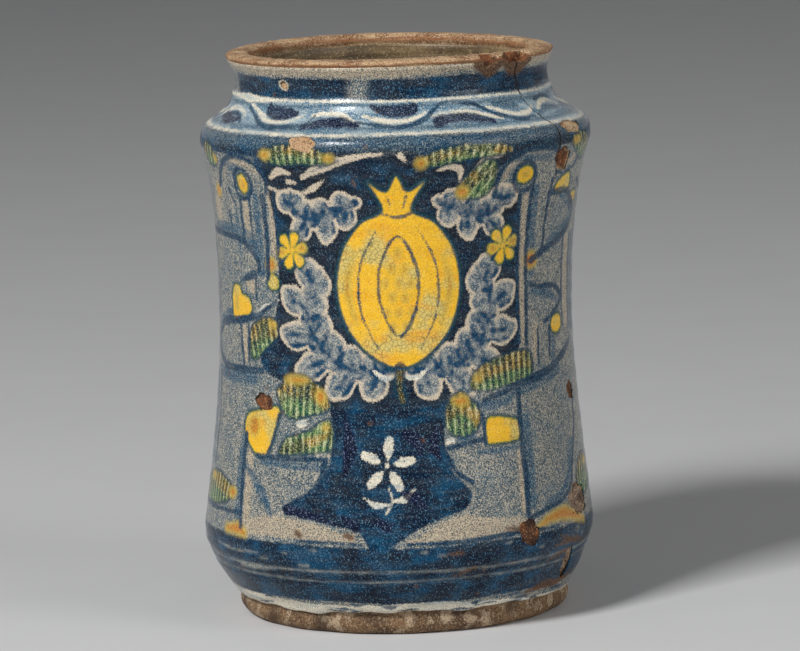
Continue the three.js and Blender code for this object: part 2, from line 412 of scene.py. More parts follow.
FLAKE_SHAPES = [Break(*numbers) for numbers in FLAKES]
CHIP_SHAPES = [Break(*numbers) for numbers in CHIPS]
BREAKS = FLAKE_SHAPES + CHIP_SHAPES


def inside_any(points, breaks):
    """How far inside the nearest of some breaks, in millimetres"""
    return np.maximum.reduce([each.inside(points) for each in breaks])


# Meshes

def bearings(count):
    """Bearings round the jar in radians, closer together at the front"""
    turn = np.arange(count) / count * 2 * math.pi - math.pi
    return turn - CROWDING * np.sin(turn)


def thinned(wanted, step):
    """Indices of every so many places, and of all that are wanted or next to one that is"""
    spread = wanted.copy()
    for shift in (1, 2):
        spread[shift:] |= wanted[:-shift]
        spread[:-shift] |= wanted[shift:]
    spread[::step] = True
    spread[-1] = True
    return np.flatnonzero(spread)


def trimmed(corners, kept):
    """A square face without its corners that are gone. A cut side ends at a pair of corners instead."""
    face = []
    for i in range(4):
        j = (i + 1) % 4
        if kept[i]:
            face.append(corners[i])
        if kept[i] != kept[j]:
            face.append((min(corners[i], corners[j]), max(corners[i], corners[j])))
    return face


def cut_sheet(gone, rows, columns):
    """Faces over a closed grid of rows and columns, without what is gone. Corners are numbers in the
    full grid, or pairs of them where a break's outline crosses between two. Also the open edges."""
    width = gone.shape[1]
    right = np.roll(columns, -1)
    lower, upper = rows[:-1, None] * width, rows[1:, None] * width
    corners = np.stack([lower + columns, lower + right, upper + right, upper + columns], -1).reshape(-1, 4)
    whole = (gone < 0).ravel()[corners]
    partly = whole.any(1) & ~whole.all(1)
    faces = corners[whole.all(1)].tolist()
    edges = {}
    for a, b, c, d in faces:
        if a // width == rows[0]:
            edges[a] = b
        if c // width == rows[-1]:
            edges[c] = d
    for square, kept in zip(corners[partly].tolist(), whole[partly]):
        face = trimmed(square, kept)
        faces.append(face)
        for here, there in zip(face, face[1:] + face[:1]):
            cuts = [isinstance(key, tuple) for key in (here, there)]
            levels = {k // width for key in (here, there) for k in np.atleast_1d(key).tolist()}
            if all(cuts) or levels in ({rows[0]}, {rows[-1]}):
                edges[here] = there
    return faces, edges


def joined(outer_edges, inner_edges):
    """Faces between two sheets' open edges. The inner sheet may leave corners out."""
    left = dict(outer_edges)
    faces = []
    while left:
        start = next((key for key in left if key in inner_edges), None)
        if start is None:
            break
        here, run = start, [start]
        while here in left:
            here = left.pop(here)
            run.append(here)
            if here in inner_edges:
                across = [("inner", run[0]), ("inner", here)]
                faces.append([("outer", key) for key in reversed(run)] + across)
                run = [here]
    return faces


def mesh_object(name, points, faces, layers):
    """A smooth-shaded mesh with a float attribute for each layer"""
    mesh = bpy.data.meshes.new(name)
    mesh.from_pydata(points.tolist(), [], faces)
    mesh.update()
    mesh.shade_smooth()
    for layer, values in layers.items():
        attribute = mesh.attributes.new(layer, "FLOAT", "POINT")
        attribute.data.foreach_set("value", np.ascontiguousarray(values, np.float32))
    piece = bpy.data.objects.new(name, mesh)
    bpy.context.scene.collection.objects.link(piece)
    return piece


def build_shell(name, outer, inner, gone, layers):
    """A closed shell between two grids of points, with the breaks cut through it"""
    near = gone > -NEAR_BREAK
    faces, edges = cut_sheet(gone, np.arange(gone.shape[0]), np.arange(gone.shape[1]))
    back_rows = thinned(near.any(1), BACK_THINNING)
    back_columns = thinned(near.any(0), BACK_THINNING)
    back_faces, back_edges = cut_sheet(gone, back_rows, back_columns)
    sides = {"outer": outer.reshape(-1, 3), "inner": inner.reshape(-1, 3)}
    flat = {layer: values.ravel() for layer, values in layers.items()}
    share = gone.ravel()
    numbers, points, values = {}, [], {layer: [] for layer in layers}

    def at(table, key):
        """A value at a corner, or where a break's outline crosses between two"""
        if not isinstance(key, tuple):
            return table[key]
        i, j = key
        t = share[i] / (share[i] - share[j])
        return table[i] * (1 - t) + table[j] * t

    def number(side, key):
        """The number of a mesh point, which is made when it is first asked for"""
        if (side, key) not in numbers:
            numbers[side, key] = len(points)
            points.append(at(sides[side], key))
            for layer, table in flat.items():
                values[layer].append(at(table, key))
        return numbers[side, key]

    mesh_faces = [[number("outer", key) for key in face] for face in faces]
    mesh_faces += [[number("inner", key) for key in reversed(face)] for face in back_faces]
    mesh_faces += [[number(side, key) for side, key in face] for face in joined(edges, back_edges)]
    return mesh_object(name, np.array(points), mesh_faces, values)


def build_lathe(name, points, layers):
    """A closed piece from a grid of points whose first and last rows lie on the axis. One point is kept
    of each of those two rows, so the numbers of all others shift by the rest."""
    rows, columns = points.shape[:2]
    spare = columns - 1
    index = np.arange(rows * columns).reshape(rows, columns) - spare
    right = np.roll(index, -1, 1)
    quads = np.stack([index[1:-2], right[1:-2], right[2:-1], index[2:-1]], -1)
    top_pole = rows * columns - 2 * spare - 1
    faces = quads.reshape(-1, 4).tolist()
    faces += [[0, b, a] for a, b in zip(index[1].tolist(), right[1].tolist())]
    faces += [[a, b, top_pole] for a, b in zip(index[-2].tolist(), right[-2].tolist())]
    kept = slice(spare, rows * columns - spare)
    values = {layer: grid.ravel()[kept] for layer, grid in layers.items()}
    return mesh_object(name, points.reshape(-1, 3)[kept], faces, values)


# Painting

class Painting:
    """Layers of distances in millimetres: above zero inside what is painted, below zero outside"""

    def __init__(self, names, around, up):
        self.around, self.up = around, up
        self.layers = {name: np.full((len(up), len(around)), FAR) for name in names}
        self.shift, self.flip = 0.0, 1.0

    def spread(self, layer, box, distance):
        """Adds a distance function to a layer, inside a box of the painted face"""
        (low_u, low_z), (high_u, high_z) = box
        rows = np.flatnonzero((self.up > low_z - MARGIN) & (self.up < high_z + MARGIN))
        for turn in (-CIRCUIT, 0, CIRCUIT):
            face = (self.around - self.shift - turn) * self.flip
            columns = np.flatnonzero((face > low_u - MARGIN) & (face < high_u + MARGIN))
            if len(rows) and len(columns):
                u, z = np.meshgrid(face[columns], self.up[rows])
                block = np.ix_(rows, columns)
                field = self.layers[layer]
                field[block] = np.maximum(field[block], distance(u, z))

    def blob(self, layer, points, grow=0.0):
        """A closed shape"""
        corners = curve(points, closed=True)
        box = corners.min(0) - abs(grow), corners.max(0) + abs(grow)
        self.spread(layer, box, lambda u, z: shape_distance(u, z, corners) + grow)

    def spot(self, layer, u, z, wide, tall):
        """An oval, from its middle and its size"""
        turn = np.arange(8) * math.pi / 4
        self.blob(layer, np.stack([u + wide / 2 * np.cos(turn), z + tall / 2 * np.sin(turn)], -1))

    def stroke(self, layer, points, *widths, curved=True):
        """A brush stroke along points, as wide as the widths spread evenly along it"""
        path = curve(points, closed=False) if curved else np.array(points, float)
        radii = np.interp(np.linspace(0, 1, len(path)), np.linspace(0, 1, len(widths)), widths) / 2
        box = path.min(0) - radii.max(), path.max(0) + radii.max()
        self.spread(layer, box, lambda u, z: stroke_distance(u, z, path, radii))

    def strokes(self, lists, weights=None):
        """Strokes from lists by layer: points, then widths. Weights make whole layers wider."""
        for layer, rows in lists.items():
            weight = (weights or {}).get(layer, 1.0)
            for points, *widths in rows:
                self.stroke(layer, points, *[weight * width for width in widths])


def curve(points, closed, steps=5):
    """A smooth line through points"""
    p = np.array(points, float)
    if closed:
        p = np.vstack([p[-1], p, p[0], p[1]])
    else:
        p = np.vstack([2 * p[0] - p[1], p, 2 * p[-1] - p[-2]])
    t = np.arange(steps)[:, None] / steps
    runs = []
    for a, b, c, d in zip(p, p[1:], p[2:], p[3:]):
        bend = (2 * a - 5 * b + 4 * c - d) * t**2 / 2 + (3 * b - a - 3 * c + d) * t**3 / 2
        runs.append(b + (c - a) * t / 2 + bend)
    return np.vstack(runs if closed else runs + [p[-2:-1]])


def along_side(u, z, start, end):
    """How far along a straight side the nearest point lies, as a share, and the way there from it"""
    run, rise = end - start
    t = ((u - start[0]) * run + (z - start[1]) * rise) / (run**2 + rise**2 + 1e-9)
    t = np.clip(t, 0, 1)
    return t, u - start[0] - t * run, z - start[1] - t * rise


def shape_distance(u, z, corners):
    """How far inside a closed shape"""
    nearest = np.full(u.shape, 1e9)
    inside = np.zeros(u.shape, bool)
    for start, end in zip(corners, np.roll(corners, -1, 0)):
        _, away_u, away_z = along_side(u, z, start, end)
        nearest = np.minimum(nearest, away_u**2 + away_z**2)
        if start[1] != end[1]:
            crossing = start[0] + (z - start[1]) * (end[0] - start[0]) / (end[1] - start[1])
            inside ^= ((start[1] > z) != (end[1] > z)) & (u < crossing)
    return np.where(inside, 1, -1) * np.sqrt(nearest)


def stroke_distance(u, z, path, radii):
    """How far inside a stroke of changing width"""
    field = np.full(u.shape, FAR)
    for start, end, first, last in zip(path, path[1:], radii, radii[1:]):
        t, away_u, away_z = along_side(u, z, start, end)
        field = np.maximum(field, first + t * (last - first) - np.hypot(away_u, away_z))
    return field


def moved(points, u, z, side=1):
    """Points round a middle, mirrored where the side is -1"""
    return np.array(points) * (side, 1) + (u, z)


LAYERS = (
    "tan", "pale", "wash", "ink", "thin", "reserve", "shade", "slip", "yellow", "orange", "green", "rib",
    "moss", "line", "dark", "worn", "stain", "crack",
)

# The front, in millimetres to the right of its middle and up from the table. First the dark field.
FIELD = [
    (-41, 151.5), (-43, 141), (-41.5, 128), (-41.5, 112), (-43.5, 101), (-50, 92), (-50, 84), (-41, 80),
    (-29, 78), (-23, 72), (-22, 62), (-23, 54), (-26, 49.5), (-31, 45), (-38, 41.5), (-37, 39), (-28, 38),
    (-20, 36), (-13, 34.5), (-8, 27), (-2, 30.5), (4, 34.5), (12, 38), (20, 40.5), (22.5, 45), (20, 48.5),
    (17, 52), (14.8, 57), (14.5, 63), (15, 70), (17, 76), (24, 81), (33, 87), (44, 88), (44.5, 110),
    (44, 126), (43, 137), (36, 138.5), (33, 141), (34, 146), (39, 151.5),
]

# Ribbed tufts of leaves: outline, lean of the ribs in degrees from upright, and the yellow tips
TUFTS = [
    ([(-44, 151.5), (-38, 154.5), (-30, 155), (-22, 153.5), (-17.5, 151), (-20, 149), (-28, 149),
      (-36, 148.5), (-42, 149.3)], 4, [(-42, 151.5, 5, 4), (-19.5, 151, 4.5, 3.2)]),
    ([(8, 150), (14, 153), (22, 154.3), (32, 154), (38, 152), (36, 150.3), (26, 149.8), (18, 148.5),
      (11, 147.8)], -4, [(8.5, 149, 4.5, 4.5)]),
    ([(20.5, 138), (21, 142), (26, 147), (31, 149), (33.5, 146), (32, 140), (27, 137)], -38,
      [(21.8, 139.3, 5.5, 5)]),
    ([(-57, 91), (-55.5, 96), (-49, 99.5), (-43.5, 99), (-43, 94), (-48, 90), (-53, 86), (-56.5, 87)], 12,
      [(-45, 97.5, 4, 3)]),
    ([(-43, 76), (-40.5, 80), (-35, 82.7), (-28, 80.5), (-22.5, 73), (-30, 70), (-38, 69)], 0,
      [(-35, 81, 12, 3.6), (-26, 76, 5, 6)]),
    ([(-41.5, 57.5), (-39, 62), (-30, 65.5), (-22.5, 69), (-22, 60), (-30, 58.3), (-38, 57.3)], 0,
      [(-24, 66.5, 3, 3)]),
    ([(-90, 42), (-84, 46.5), (-76, 48), (-68, 46.5), (-62, 43.5), (-66, 39.5), (-78, 37.5), (-88, 38)], 0,
      [(-62.5, 43, 6, 4.5), (-80, 46, 8, 2.5)]),
    ([(24, 77.5), (26, 82.5), (33, 86), (44, 87.5), (49.5, 86), (49.5, 79.5), (40, 77.5), (30, 76.5)], 3,
      [(27, 80.5, 4, 3)]),
    ([(15, 69), (16.5, 74), (20, 77), (24.5, 74), (27.5, 69), (25.5, 64.5), (20, 63), (16, 64.5)], 0,
      [(20.5, 74, 7, 4.5)]),
    ([(-80, 149), (-78, 153), (-72, 152.5), (-68.5, 148.5), (-72, 146), (-77, 146.5)], -20,
      [(-70, 148.5, 3.5, 3)]),
    ([(66, 151.5), (72, 154), (81, 152), (86, 147), (79, 144.5), (71, 148)], 25, [(70.5, 151.5, 6, 3)]),
    ([(71, 42), (74, 48), (82, 50), (88, 45), (84, 39), (76, 38)], -15, [(83, 47, 6, 3)]),
]
RIB_PITCH = 2.5

# Strokes of the scrolls, tied ribbons and leaves, by layer: points, then widths along them
SCROLL_STROKES = {
    "line": [
        ([(-71, 140), (-67, 145.5), (-61, 149.5), (-53, 150.3), (-47, 148), (-43.5, 143.5), (-44, 139.5)],
          1.6, 1.2),
        ([(-59.6, 140.5), (-58.4, 144.6), (-55, 146.4), (-51.2, 144.3), (-50.8, 140), (-53.5, 136.9),
          (-58, 137.3), (-59.6, 140.5)], 1.2),
        ([(-57.7, 137), (-57.9, 130), (-57.4, 122)], 1.1, 1),
        ([(-52.7, 137), (-53, 129), (-52.6, 122)], 0.8),
        ([(-46, 138), (-45.7, 126), (-46.2, 112)], 1.8, 1.4),
        ([(-40.8, 140), (-41, 130), (-41, 120)], 1),
        ([(-88, 124.5), (-72, 124), (-61, 123.6), (-53.5, 120), (-50.3, 115.8), (-53, 112.6),
          (-58.5, 111)], 1.7, 1.3),
        ([(-64, 139), (-61, 134)], 1.1, 0.7),
        ([(-66, 132), (-65.5, 127), (-66, 124)], 0.9, 0.6),
        ([(-74, 81.8), (-82, 85), (-84, 90), (-79, 94.5), (-70, 96.8), (-60, 98), (-52, 100), (-43, 105)],
          2, 2.2, 2.2, 1.2),
        ([(-76, 81.6), (-62, 82), (-50, 82.6)], 2.2, 1.6),
        ([(-61, 110), (-56.5, 112.4), (-52.4, 113.6), (-52.6, 109), (-52.5, 105)], 0.8),
        ([(-62.4, 96), (-61.6, 90), (-60, 84)], 1),
        ([(-57.3, 97), (-57.6, 91), (-57.2, 85)], 0.9),
        ([(-57, 62), (-57.4, 47), (-56.5, 33)], 1.6, 1.4),
        ([(-50.6, 56.2), (-38, 56.2), (-24, 56.6)], 1.4, 1.2),
        ([(-24, 56), (-25.5, 50.5), (-30, 45.5), (-38, 41)], 1.6, 1.2),
        ([(-81, 79), (-79.5, 64), (-80.5, 50)], 1.2, 1),
        ([(-89, 37), (-76, 36.6), (-58, 37.2)], 1.3, 0.9),
        ([(-86, 121), (-83, 108), (-86, 96)], 1),
        ([(33, 137), (34, 143), (37, 147.5), (43, 150.3), (52, 150.8), (59, 149.4)], 1.2, 1.5),
        ([(39.8, 141), (40.6, 145), (44.5, 147.2), (48.4, 145), (49, 140.8), (46.5, 138.2), (42, 138.2),
          (39.8, 141)], 1.2),
        ([(48.6, 139), (47.6, 118), (48, 100), (47.8, 89)], 1.5, 1.2),
        ([(43.4, 137), (43.6, 112), (44.5, 90)], 1),
        ([(58.6, 140), (56.8, 128), (56, 118)], 1.2),
        ([(57.5, 135.8), (66, 136), (73, 133.6), (78, 129), (76, 124.5), (67, 120.5), (57, 118),
          (50, 115.3)], 1.5, 2, 1.8),
        ([(49, 108), (55, 106.6), (63, 106), (68, 103.6), (69, 100), (63, 96.8), (58, 95)], 1.2, 1.6, 1),
        ([(61, 93), (60.6, 84)], 1.2, 1),
        ([(54, 93), (53.6, 82)], 0.9, 0.8),
        ([(29, 73.6), (40, 76.3), (52, 78.4), (64, 81), (80, 87)], 1.4, 2.2, 2),
        ([(15.5, 59.4), (22, 60.6), (28.5, 61.4)], 1.2),
        ([(42.7, 76), (42.6, 60), (43, 48), (42.6, 36)], 1.6, 1.9, 1.6),
        ([(43, 35), (52, 37), (60, 38.4), (66, 42), (70, 50), (74, 58), (77.5, 70)], 1.4, 1.1),
        ([(15, 57.5), (18, 52), (23, 48.5)], 1.2),
        ([(71, 120), (70.4, 106), (71.6, 92)], 1, 0.8),
        ([(78, 120), (77.6, 106), (78.6, 91)], 1.2, 0.9),
        ([(60, 142), (66, 141.8), (72, 143), (76, 146)], 1, 0.7),
        ([(80, 138), (86, 134), (88, 126), (85, 118)], 1.5, 1),
        ([(28, 69), (28.6, 60)], 1),
        ([(-41.8, 69.5), (-44, 62), (-46.4, 56.6)], 1),
        ([(-33, 30.9), (-20, 31), (-12, 30.6)], 1, 0.6),
        ([(2, 30.6), (18, 30.4), (38, 31.2), (56, 30.4)], 0.8, 1.3, 0.8),
    ],
    "wash": [
        ([(-80, 126), (-68, 126.5), (-58, 125.5), (-52, 122), (-48, 116)], 2.6, 3.6),
        ([(-49.5, 138), (-49.5, 126), (-49.2, 114)], 2.2, 3),
        ([(-84, 94), (-72, 98.5), (-60, 100.5)], 2, 2.6, 1.4),
        ([(-84, 80), (-70, 79), (-54, 80)], 2.4, 3.2),
        ([(-58.8, 60), (-59.3, 46), (-58.6, 34)], 2.2),
        ([(-48, 54.3), (-36, 54.3), (-26, 54.3)], 1.6, 2.2),
        ([(-55.5, 52), (-48, 45), (-43, 38)], 1.6, 3, 1),
        ([(-66, 147.5), (-60, 146.8), (-57, 147.4)], 1.2, 2, 1),
        ([(-61, 131), (-60.6, 120)], 1.6),
        ([(37, 148), (44, 148.6), (54, 148)], 1.4, 2),
        ([(50.6, 138), (50, 124), (50.4, 112)], 2.4, 3),
        ([(66, 134), (73, 131), (75, 127.5), (70, 123.5), (60, 120.5)], 1.6, 2.6, 2),
        ([(51, 105.5), (60, 103.8), (66, 101)], 1.6, 2.4, 1.2),
        ([(40, 74.4), (52, 76.2), (66, 79)], 1.8, 2.6),
        ([(45, 66), (45.3, 52), (45, 39)], 2.6, 3.4, 2.4),
        ([(52, 38.8), (60, 40.6), (66, 46), (70, 55)], 1.8, 2.4),
        ([(27, 72), (32, 72), (38, 73.6)], 2, 3.4),
        ([(20, 62), (24, 62.4)], 2.4),
        ([(63.5, 92), (63, 83)], 1.6, 2.2),
        ([(82, 120), (82, 104), (83, 92)], 3, 4),
        ([(-86, 76), (-85, 62), (-86, 52)], 3.2, 3.8),
        ([(26, 57.5), (34, 57.6), (41, 57.4)], 1, 1.6, 1),
    ],
    "tan": [
        ([(-55.2, 136), (-55.3, 124)], 3),
        ([(-76, 133), (-76, 126.5)], 6.5),
        ([(-56.5, 109.8), (-54.4, 109.2)], 3.6, 5),
        ([(-60, 95.6), (-59, 85.6)], 2.2, 2.8),
        ([(-54.2, 60), (-54, 34.5)], 2.6, 3.4),
        ([(45.8, 136), (45.8, 108), (46.4, 90)], 2, 2.6, 2),
        ([(74.6, 119), (74, 104), (75.2, 93)], 4.6, 4.2),
        ([(41, 57), (41, 38)], 1.4, 2),
        ([(64, 144.6), (70, 145.6), (74, 148)], 2, 1.4),
        ([(-66, 143), (-62, 147.2), (-54, 148.4), (-47, 145.8)], 1, 1.8, 1.2),
        ([(36, 142), (39, 147), (46, 149), (54, 148.6)], 1.6, 2.2, 1.2),
        ([(52.6, 94), (51.6, 84)], 2),
        ([(-42.6, 139), (-42.6, 130), (-42.6, 120.5)], 2.2, 2.6),
    ],
    "slip": [
        ([(-54, 99.8), (-48, 102.6), (-42, 105.4)], 0.8, 2.4, 0.8),
        ([(-33.5, 67), (-32, 67.6)], 2.6),
        ([(-37, 58.6), (-34, 57.8)], 1.2, 0.8),
        ([(-27, 58.4), (-24, 58.8)], 1.4, 1),
        ([(15.6, 65.4), (17.4, 64)], 1.6, 1),
        ([(15.6, 61.6), (17, 62)], 1.8),
        ([(24, 78.3), (29, 76.2)], 1.8, 0.8),
        ([(33.4, 75.6), (38, 76.8)], 1.6, 0.6),
    ],
    "orange": [
        ([(46, 31.5), (52, 33.6), (60, 34), (67, 32), (73, 30)], 2, 5, 2.4),
        ([(-64, 31.6), (-58, 32.2), (-54, 31)], 3, 4.6, 2.6),
    ],
}

# How much wider than listed the brush was
BRUSH_WEIGHT = {"line": 1.25, "wash": 1.25}

# Spots of colour, by layer: middle and size
SCROLL_SPOTS = {
    "yellow": [
        (-55, 141.6, 5.4, 6), (44.5, 143, 7, 5.4), (66, 93.5, 8, 6), (-44, 111, 5, 5), (77, 132.8, 7, 3.4),
    ],
    "orange": [
        (-44.5, 116.5, 5, 5), (-73, 138, 5, 4.5), (50, 115.5, 7.4, 6), (-53, 65, 6, 7),
        (77, 132.6, 6, 2.6), (44.5, 143, 3.4, 2.6), (-55, 140.6, 2.4, 3), (-64.5, 103, 2.2, 6),
    ],
}

YELLOWS = [
    [(-58, 64), (-56.5, 68.5), (-50, 70.5), (-43, 71.8), (-41.8, 69), (-44, 62), (-46, 56.6), (-50, 56),
     (-55.5, 59.5)],
    [(-67.5, 107), (-63, 108.6), (-61, 106), (-57, 105.2), (-55.3, 102.5), (-57, 99.6), (-61, 99),
     (-64, 97.2), (-67.5, 98)],
    [(28.8, 61), (29.4, 66.8), (32.5, 68.2), (41, 66.2), (42.4, 62.6), (40.5, 60), (31.4, 59.7)],
    [(60.5, 137), (64, 140), (70, 141), (70.4, 136.4), (62, 135.4)],
]

PALE_GROUND = [
    [(-56, 35), (-44, 38.6), (-36, 38.4), (-26, 37), (-18, 34.4), (-12, 31.6), (-20, 30.6), (-40, 31),
     (-56, 31.2)],
    [(0, 31.2), (6, 34), (12, 37), (20, 39.2), (28, 37.6), (41, 36), (41, 31.6), (20, 30.8), (4, 30.6)],
]

# Strokes on the dark field, by layer
FIELD_STROKES = {
    "reserve": [
        ([(-41, 144.3), (-37.5, 146.6), (-33.5, 146)], 1.4, 2.6, 1),
        ([(-43, 141.3), (-37, 139.4), (-30.5, 139)], 1, 1.8, 1),
        ([(-29, 144.8), (-22, 148.2), (-13, 151), (-3, 152.4)], 1.4, 3.4, 2.2, 0.8),
        ([(-30, 139.6), (-26, 141.2), (-21.5, 144.2)], 1, 2.2, 0.6),
        ([(-34.5, 143.4), (-31.5, 143)], 1.8, 0.8),
        ([(2.4, 151.8), (4, 149.8)], 2.2, 0.6),
        ([(13.5, 146.4), (17.6, 147.6), (20.8, 146.2), (20.7, 142)], 0.8, 2.4, 2, 0.6),
        ([(25.5, 145.7), (29, 148.8), (35, 150.5)], 1.6, 3, 1),
    ],
    "dark": [
        ([(2, 64.5), (6, 62), (6.4, 58.6)], 3, 4.4, 2),
        ([(1, 46.4), (4.4, 44.4), (7, 42)], 2.2, 4, 2),
        ([(-37, 40.4), (-28, 39), (-21, 37)], 3.2, 2.4, 1.2),
        ([(-18, 39), (-14, 36)], 1.6, 3),
        ([(-8, 38), (-4, 36)], 2, 3.2),
        ([(-17, 68), (-16, 60), (-17.5, 52)], 2, 5, 1.4),
        ([(12, 66), (11, 60), (13, 56)], 1.4, 3.4, 1),
    ],
}

# The wave round the shoulder: white ribbons, blue lines under them, and commas between them
RIBBONS = [
    [(-62, 166), (-55, 163.5), (-50, 161.8), (-44, 161), (-38, 161.3), (-33, 163)],
    [(-29, 163), (-24, 163.8), (-18, 163.5), (-14, 162), (-10, 160.5)],
    [(-10, 163), (-4, 161.8), (2, 161.2), (8, 162), (12, 163.5)],
    [(14, 162.5), (20, 163), (28, 163), (34, 162), (40, 160.8)],
    [(36, 164), (42, 162.5), (48, 161.2), (54, 161.5), (58, 163)],
    [(60, 162), (66, 163.8), (72, 163.8), (78, 162)],
]
RIBBON_LINES = [
    [(-62, 164.5), (-55, 162), (-50, 160.3), (-44, 159.6), (-38, 160), (-31, 160.5), (-28, 163)],
    [(-12, 161.4), (-4, 160.4), (2, 159.8), (8, 160.6), (12, 162), (15, 164), (18, 166), (21, 166.5)],
    [(22, 166.5), (30, 165.5), (38, 162)],
    [(36, 162.6), (42, 161), (48, 159.9), (55, 160.3)],
    [(62, 164.4), (68, 165.4), (75, 164.6)],
]
WAVE_STROKES = {
    "dark": [
        ([(-49.6, 165.6), (-49, 164.2), (-46, 163.6), (-40, 163.6), (-35.6, 163.8)], 2, 3.4, 4.2, 3.8,
          1.6),
        ([(-31, 159.8), (-24, 161.2), (-17, 161.3), (-11, 160.3)], 1.6, 2.8, 2.8, 1.2),
        ([(-7, 165.6), (-2, 164.4), (4, 164.2), (8, 165)], 1.6, 3.2, 3.8, 3.4),
        ([(15.5, 160.8), (22, 161.8), (30, 161.3), (36, 160)], 3.2, 2.4, 2.6, 1),
    ],
    "wash": [
        ([(40, 165.2), (45, 164.8), (50, 163.8)], 3, 3.8, 2),
        ([(58, 160.5), (66, 162), (76, 161.3)], 1.2, 2.2, 1),
    ],
}
RIBBON_WIDTHS = (0.9, 1.6, 1.3, 0.8)
RIBBON_LINE_WIDTHS = (0.9, 1.5, 0.9)

# Round the back the wave repeats, from where the front's ends to where it starts. A turn's points are
# given by their share of it and their height.
WAVE_START = -62.0
WAVE_END = 82.0
WAVES_BACK = 5
WAVE_MIRROR = 325.0
TROUGH = [(0.0, 163.8), (0.13, 162.2), (0.26, 161.2), (0.4, 161.6), (0.5, 163.2)]
TROUGH_COMMA = [(0.1, 165), (0.22, 164.2), (0.34, 164), (0.44, 164.4)]

# Bands: layer, lower edge, upper edge, and how far the edges wander
BANDS = [
    ("tan", 175.2, 181, 0.5),
    ("ink", 167.9, 174.3, 0.3),
    ("pale", 157.6, 167.9, 0.15),
    ("slip", 166.9, 167.7, 0.12),
    ("slip", 157.6, 158.3, 0.15),
    ("wash", 158.9, 159.9, 0.2),
    ("wash", 165.2, 166.4, 0.4),
    ("ink", 150.8, 157.2, 0.3),
    ("wash", 152.5, 157.2, 0.3),
    # On the shoulder edge the ink is thinned so the paler wash shows: partly the glaze's own pooling,
    # partly a painted highlight along the edge.
    ("thin", 154.9, 156.3, 0.25),
    ("ink", 10.6, 29.8, 0.45),
    ("worn", 21.3, 22.0, 0.15),
    ("worn", 18.3, 18.8, 0.2),
]
BAND_STROKES = {
    "thin": [([(-12, 165), (-12, 178)], 5.0), ([(-92, 167), (-91, 178)], 27.0)],
    "slip": [([(-84, 167.6), (-64, 167.4), (-44, 167.2)], 0.6, 2.6, 0.6)],
    "worn": [
        ([(-66, 20.6), (-54, 20.9), (-42, 21.2)], 0.8, 2.0, 0.6),
        ([(-70, 26.2), (-60, 25.6), (-48, 25.9)], 0.4, 1.2, 0.4),
    ],
}

# The whitish band above the foot, which is narrower at the right, and small dabs over it and over the
# band above
FOOT_BAND_LOW = 4.0
FOOT_BAND_HIGH = 9.9
FOOT_BAND_NARROWING = 2.4
DAB_LEVELS = [7.2, 9.2, 10.4]
FLECK_LEVELS = (23, 30)
DABS = 30

# Wear: the hairline crack down from the rim, and brown staining
WEAR_STROKES = {
    "crack": [([(53, 177.5), (53.4, 172), (54.6, 167), (56.4, 163.4), (57.4, 160), (58.6, 156),
                (58.8, 152), (58.4, 148.5), (59.6, 144), (60.3, 140.5)], 0.9, 0.7, 0.7, 0.9, 0.5)],
    "stain": [
        ([(54, 24), (62, 25), (72, 23)], 0.6, 1.8, 0.6),
        ([(46, 9.6), (54, 11), (62, 10.6), (72, 11.6)], 1.4, 3.4, 2.8, 1.4),
        ([(52, 20), (60, 21.5), (66, 21)], 0.6, 1.6, 0.4),
        ([(-33, 33.4), (-32, 32.6)], 2.0, 1.4),
        ([(-17, 33.6), (-15.6, 33)], 1.8, 2.2),
        ([(-12.4, 143.6), (-11.8, 142.6)], 1.0, 0.8),
        ([(12, 26.6), (18, 27)], 0.4, 1.0),
        ([(34, 33), (39, 32)], 0.8, 1.4),
        ([(33, 177.4), (39, 175.6), (44, 177)], 3.0, 5.4, 3.0),
        ([(46, 177.6), (51, 175.4), (56, 176), (61, 177.6)], 3.0, 5.2, 4.6, 3.0),
        ([(16, 19.6), (23, 21.8)], 0.4, 0.8),
        ([(57, 27), (63, 25.4), (69, 24.6), (76, 22)], 0.4, 0.9, 0.4),
    ],
}
SCRAPES = 60


def paint_scrolls(paint):
    """Two scrolls with rolled ends, and what is tied and tucked round them"""
    paint.strokes(SCROLL_STROKES, BRUSH_WEIGHT)
    for layer, rows in SCROLL_SPOTS.items():
        for middle_and_size in rows:
            paint.spot(layer, *middle_and_size)
    for outline in YELLOWS:
        paint.blob("yellow", outline)
    for outline in PALE_GROUND:
        paint.blob("tan", outline, -0.6)


def paint_tufts(paint):
    """Tufts of leaves with pale ribs, greener towards the foot and yellow at the tips"""
    for outline, slant, tips in TUFTS:
        corners = np.array(outline, float)
        paint.blob("green", corners)
        paint.blob("moss", corners - (0, 0.5 * np.ptp(corners[:, 1])))
        lean = math.radians(slant)
        across = np.array([math.cos(lean), math.sin(lean)])
        reach = np.ptp(corners, 0).max() / 2 + 3
        for k in np.arange(-reach, reach, RIB_PITCH):
            foot = corners.mean(0) + across * k
            rise = np.array([-math.sin(lean) + 0.012 * k, math.cos(lean)]) * (reach + 2)
            paint.stroke("rib", [foot - rise, foot, foot + rise], 0.7, 1.15, 0.8)
        for u, z, wide, tall in tips:
            paint.spot("orange", u, z, 0.85 * wide, 0.85 * tall)


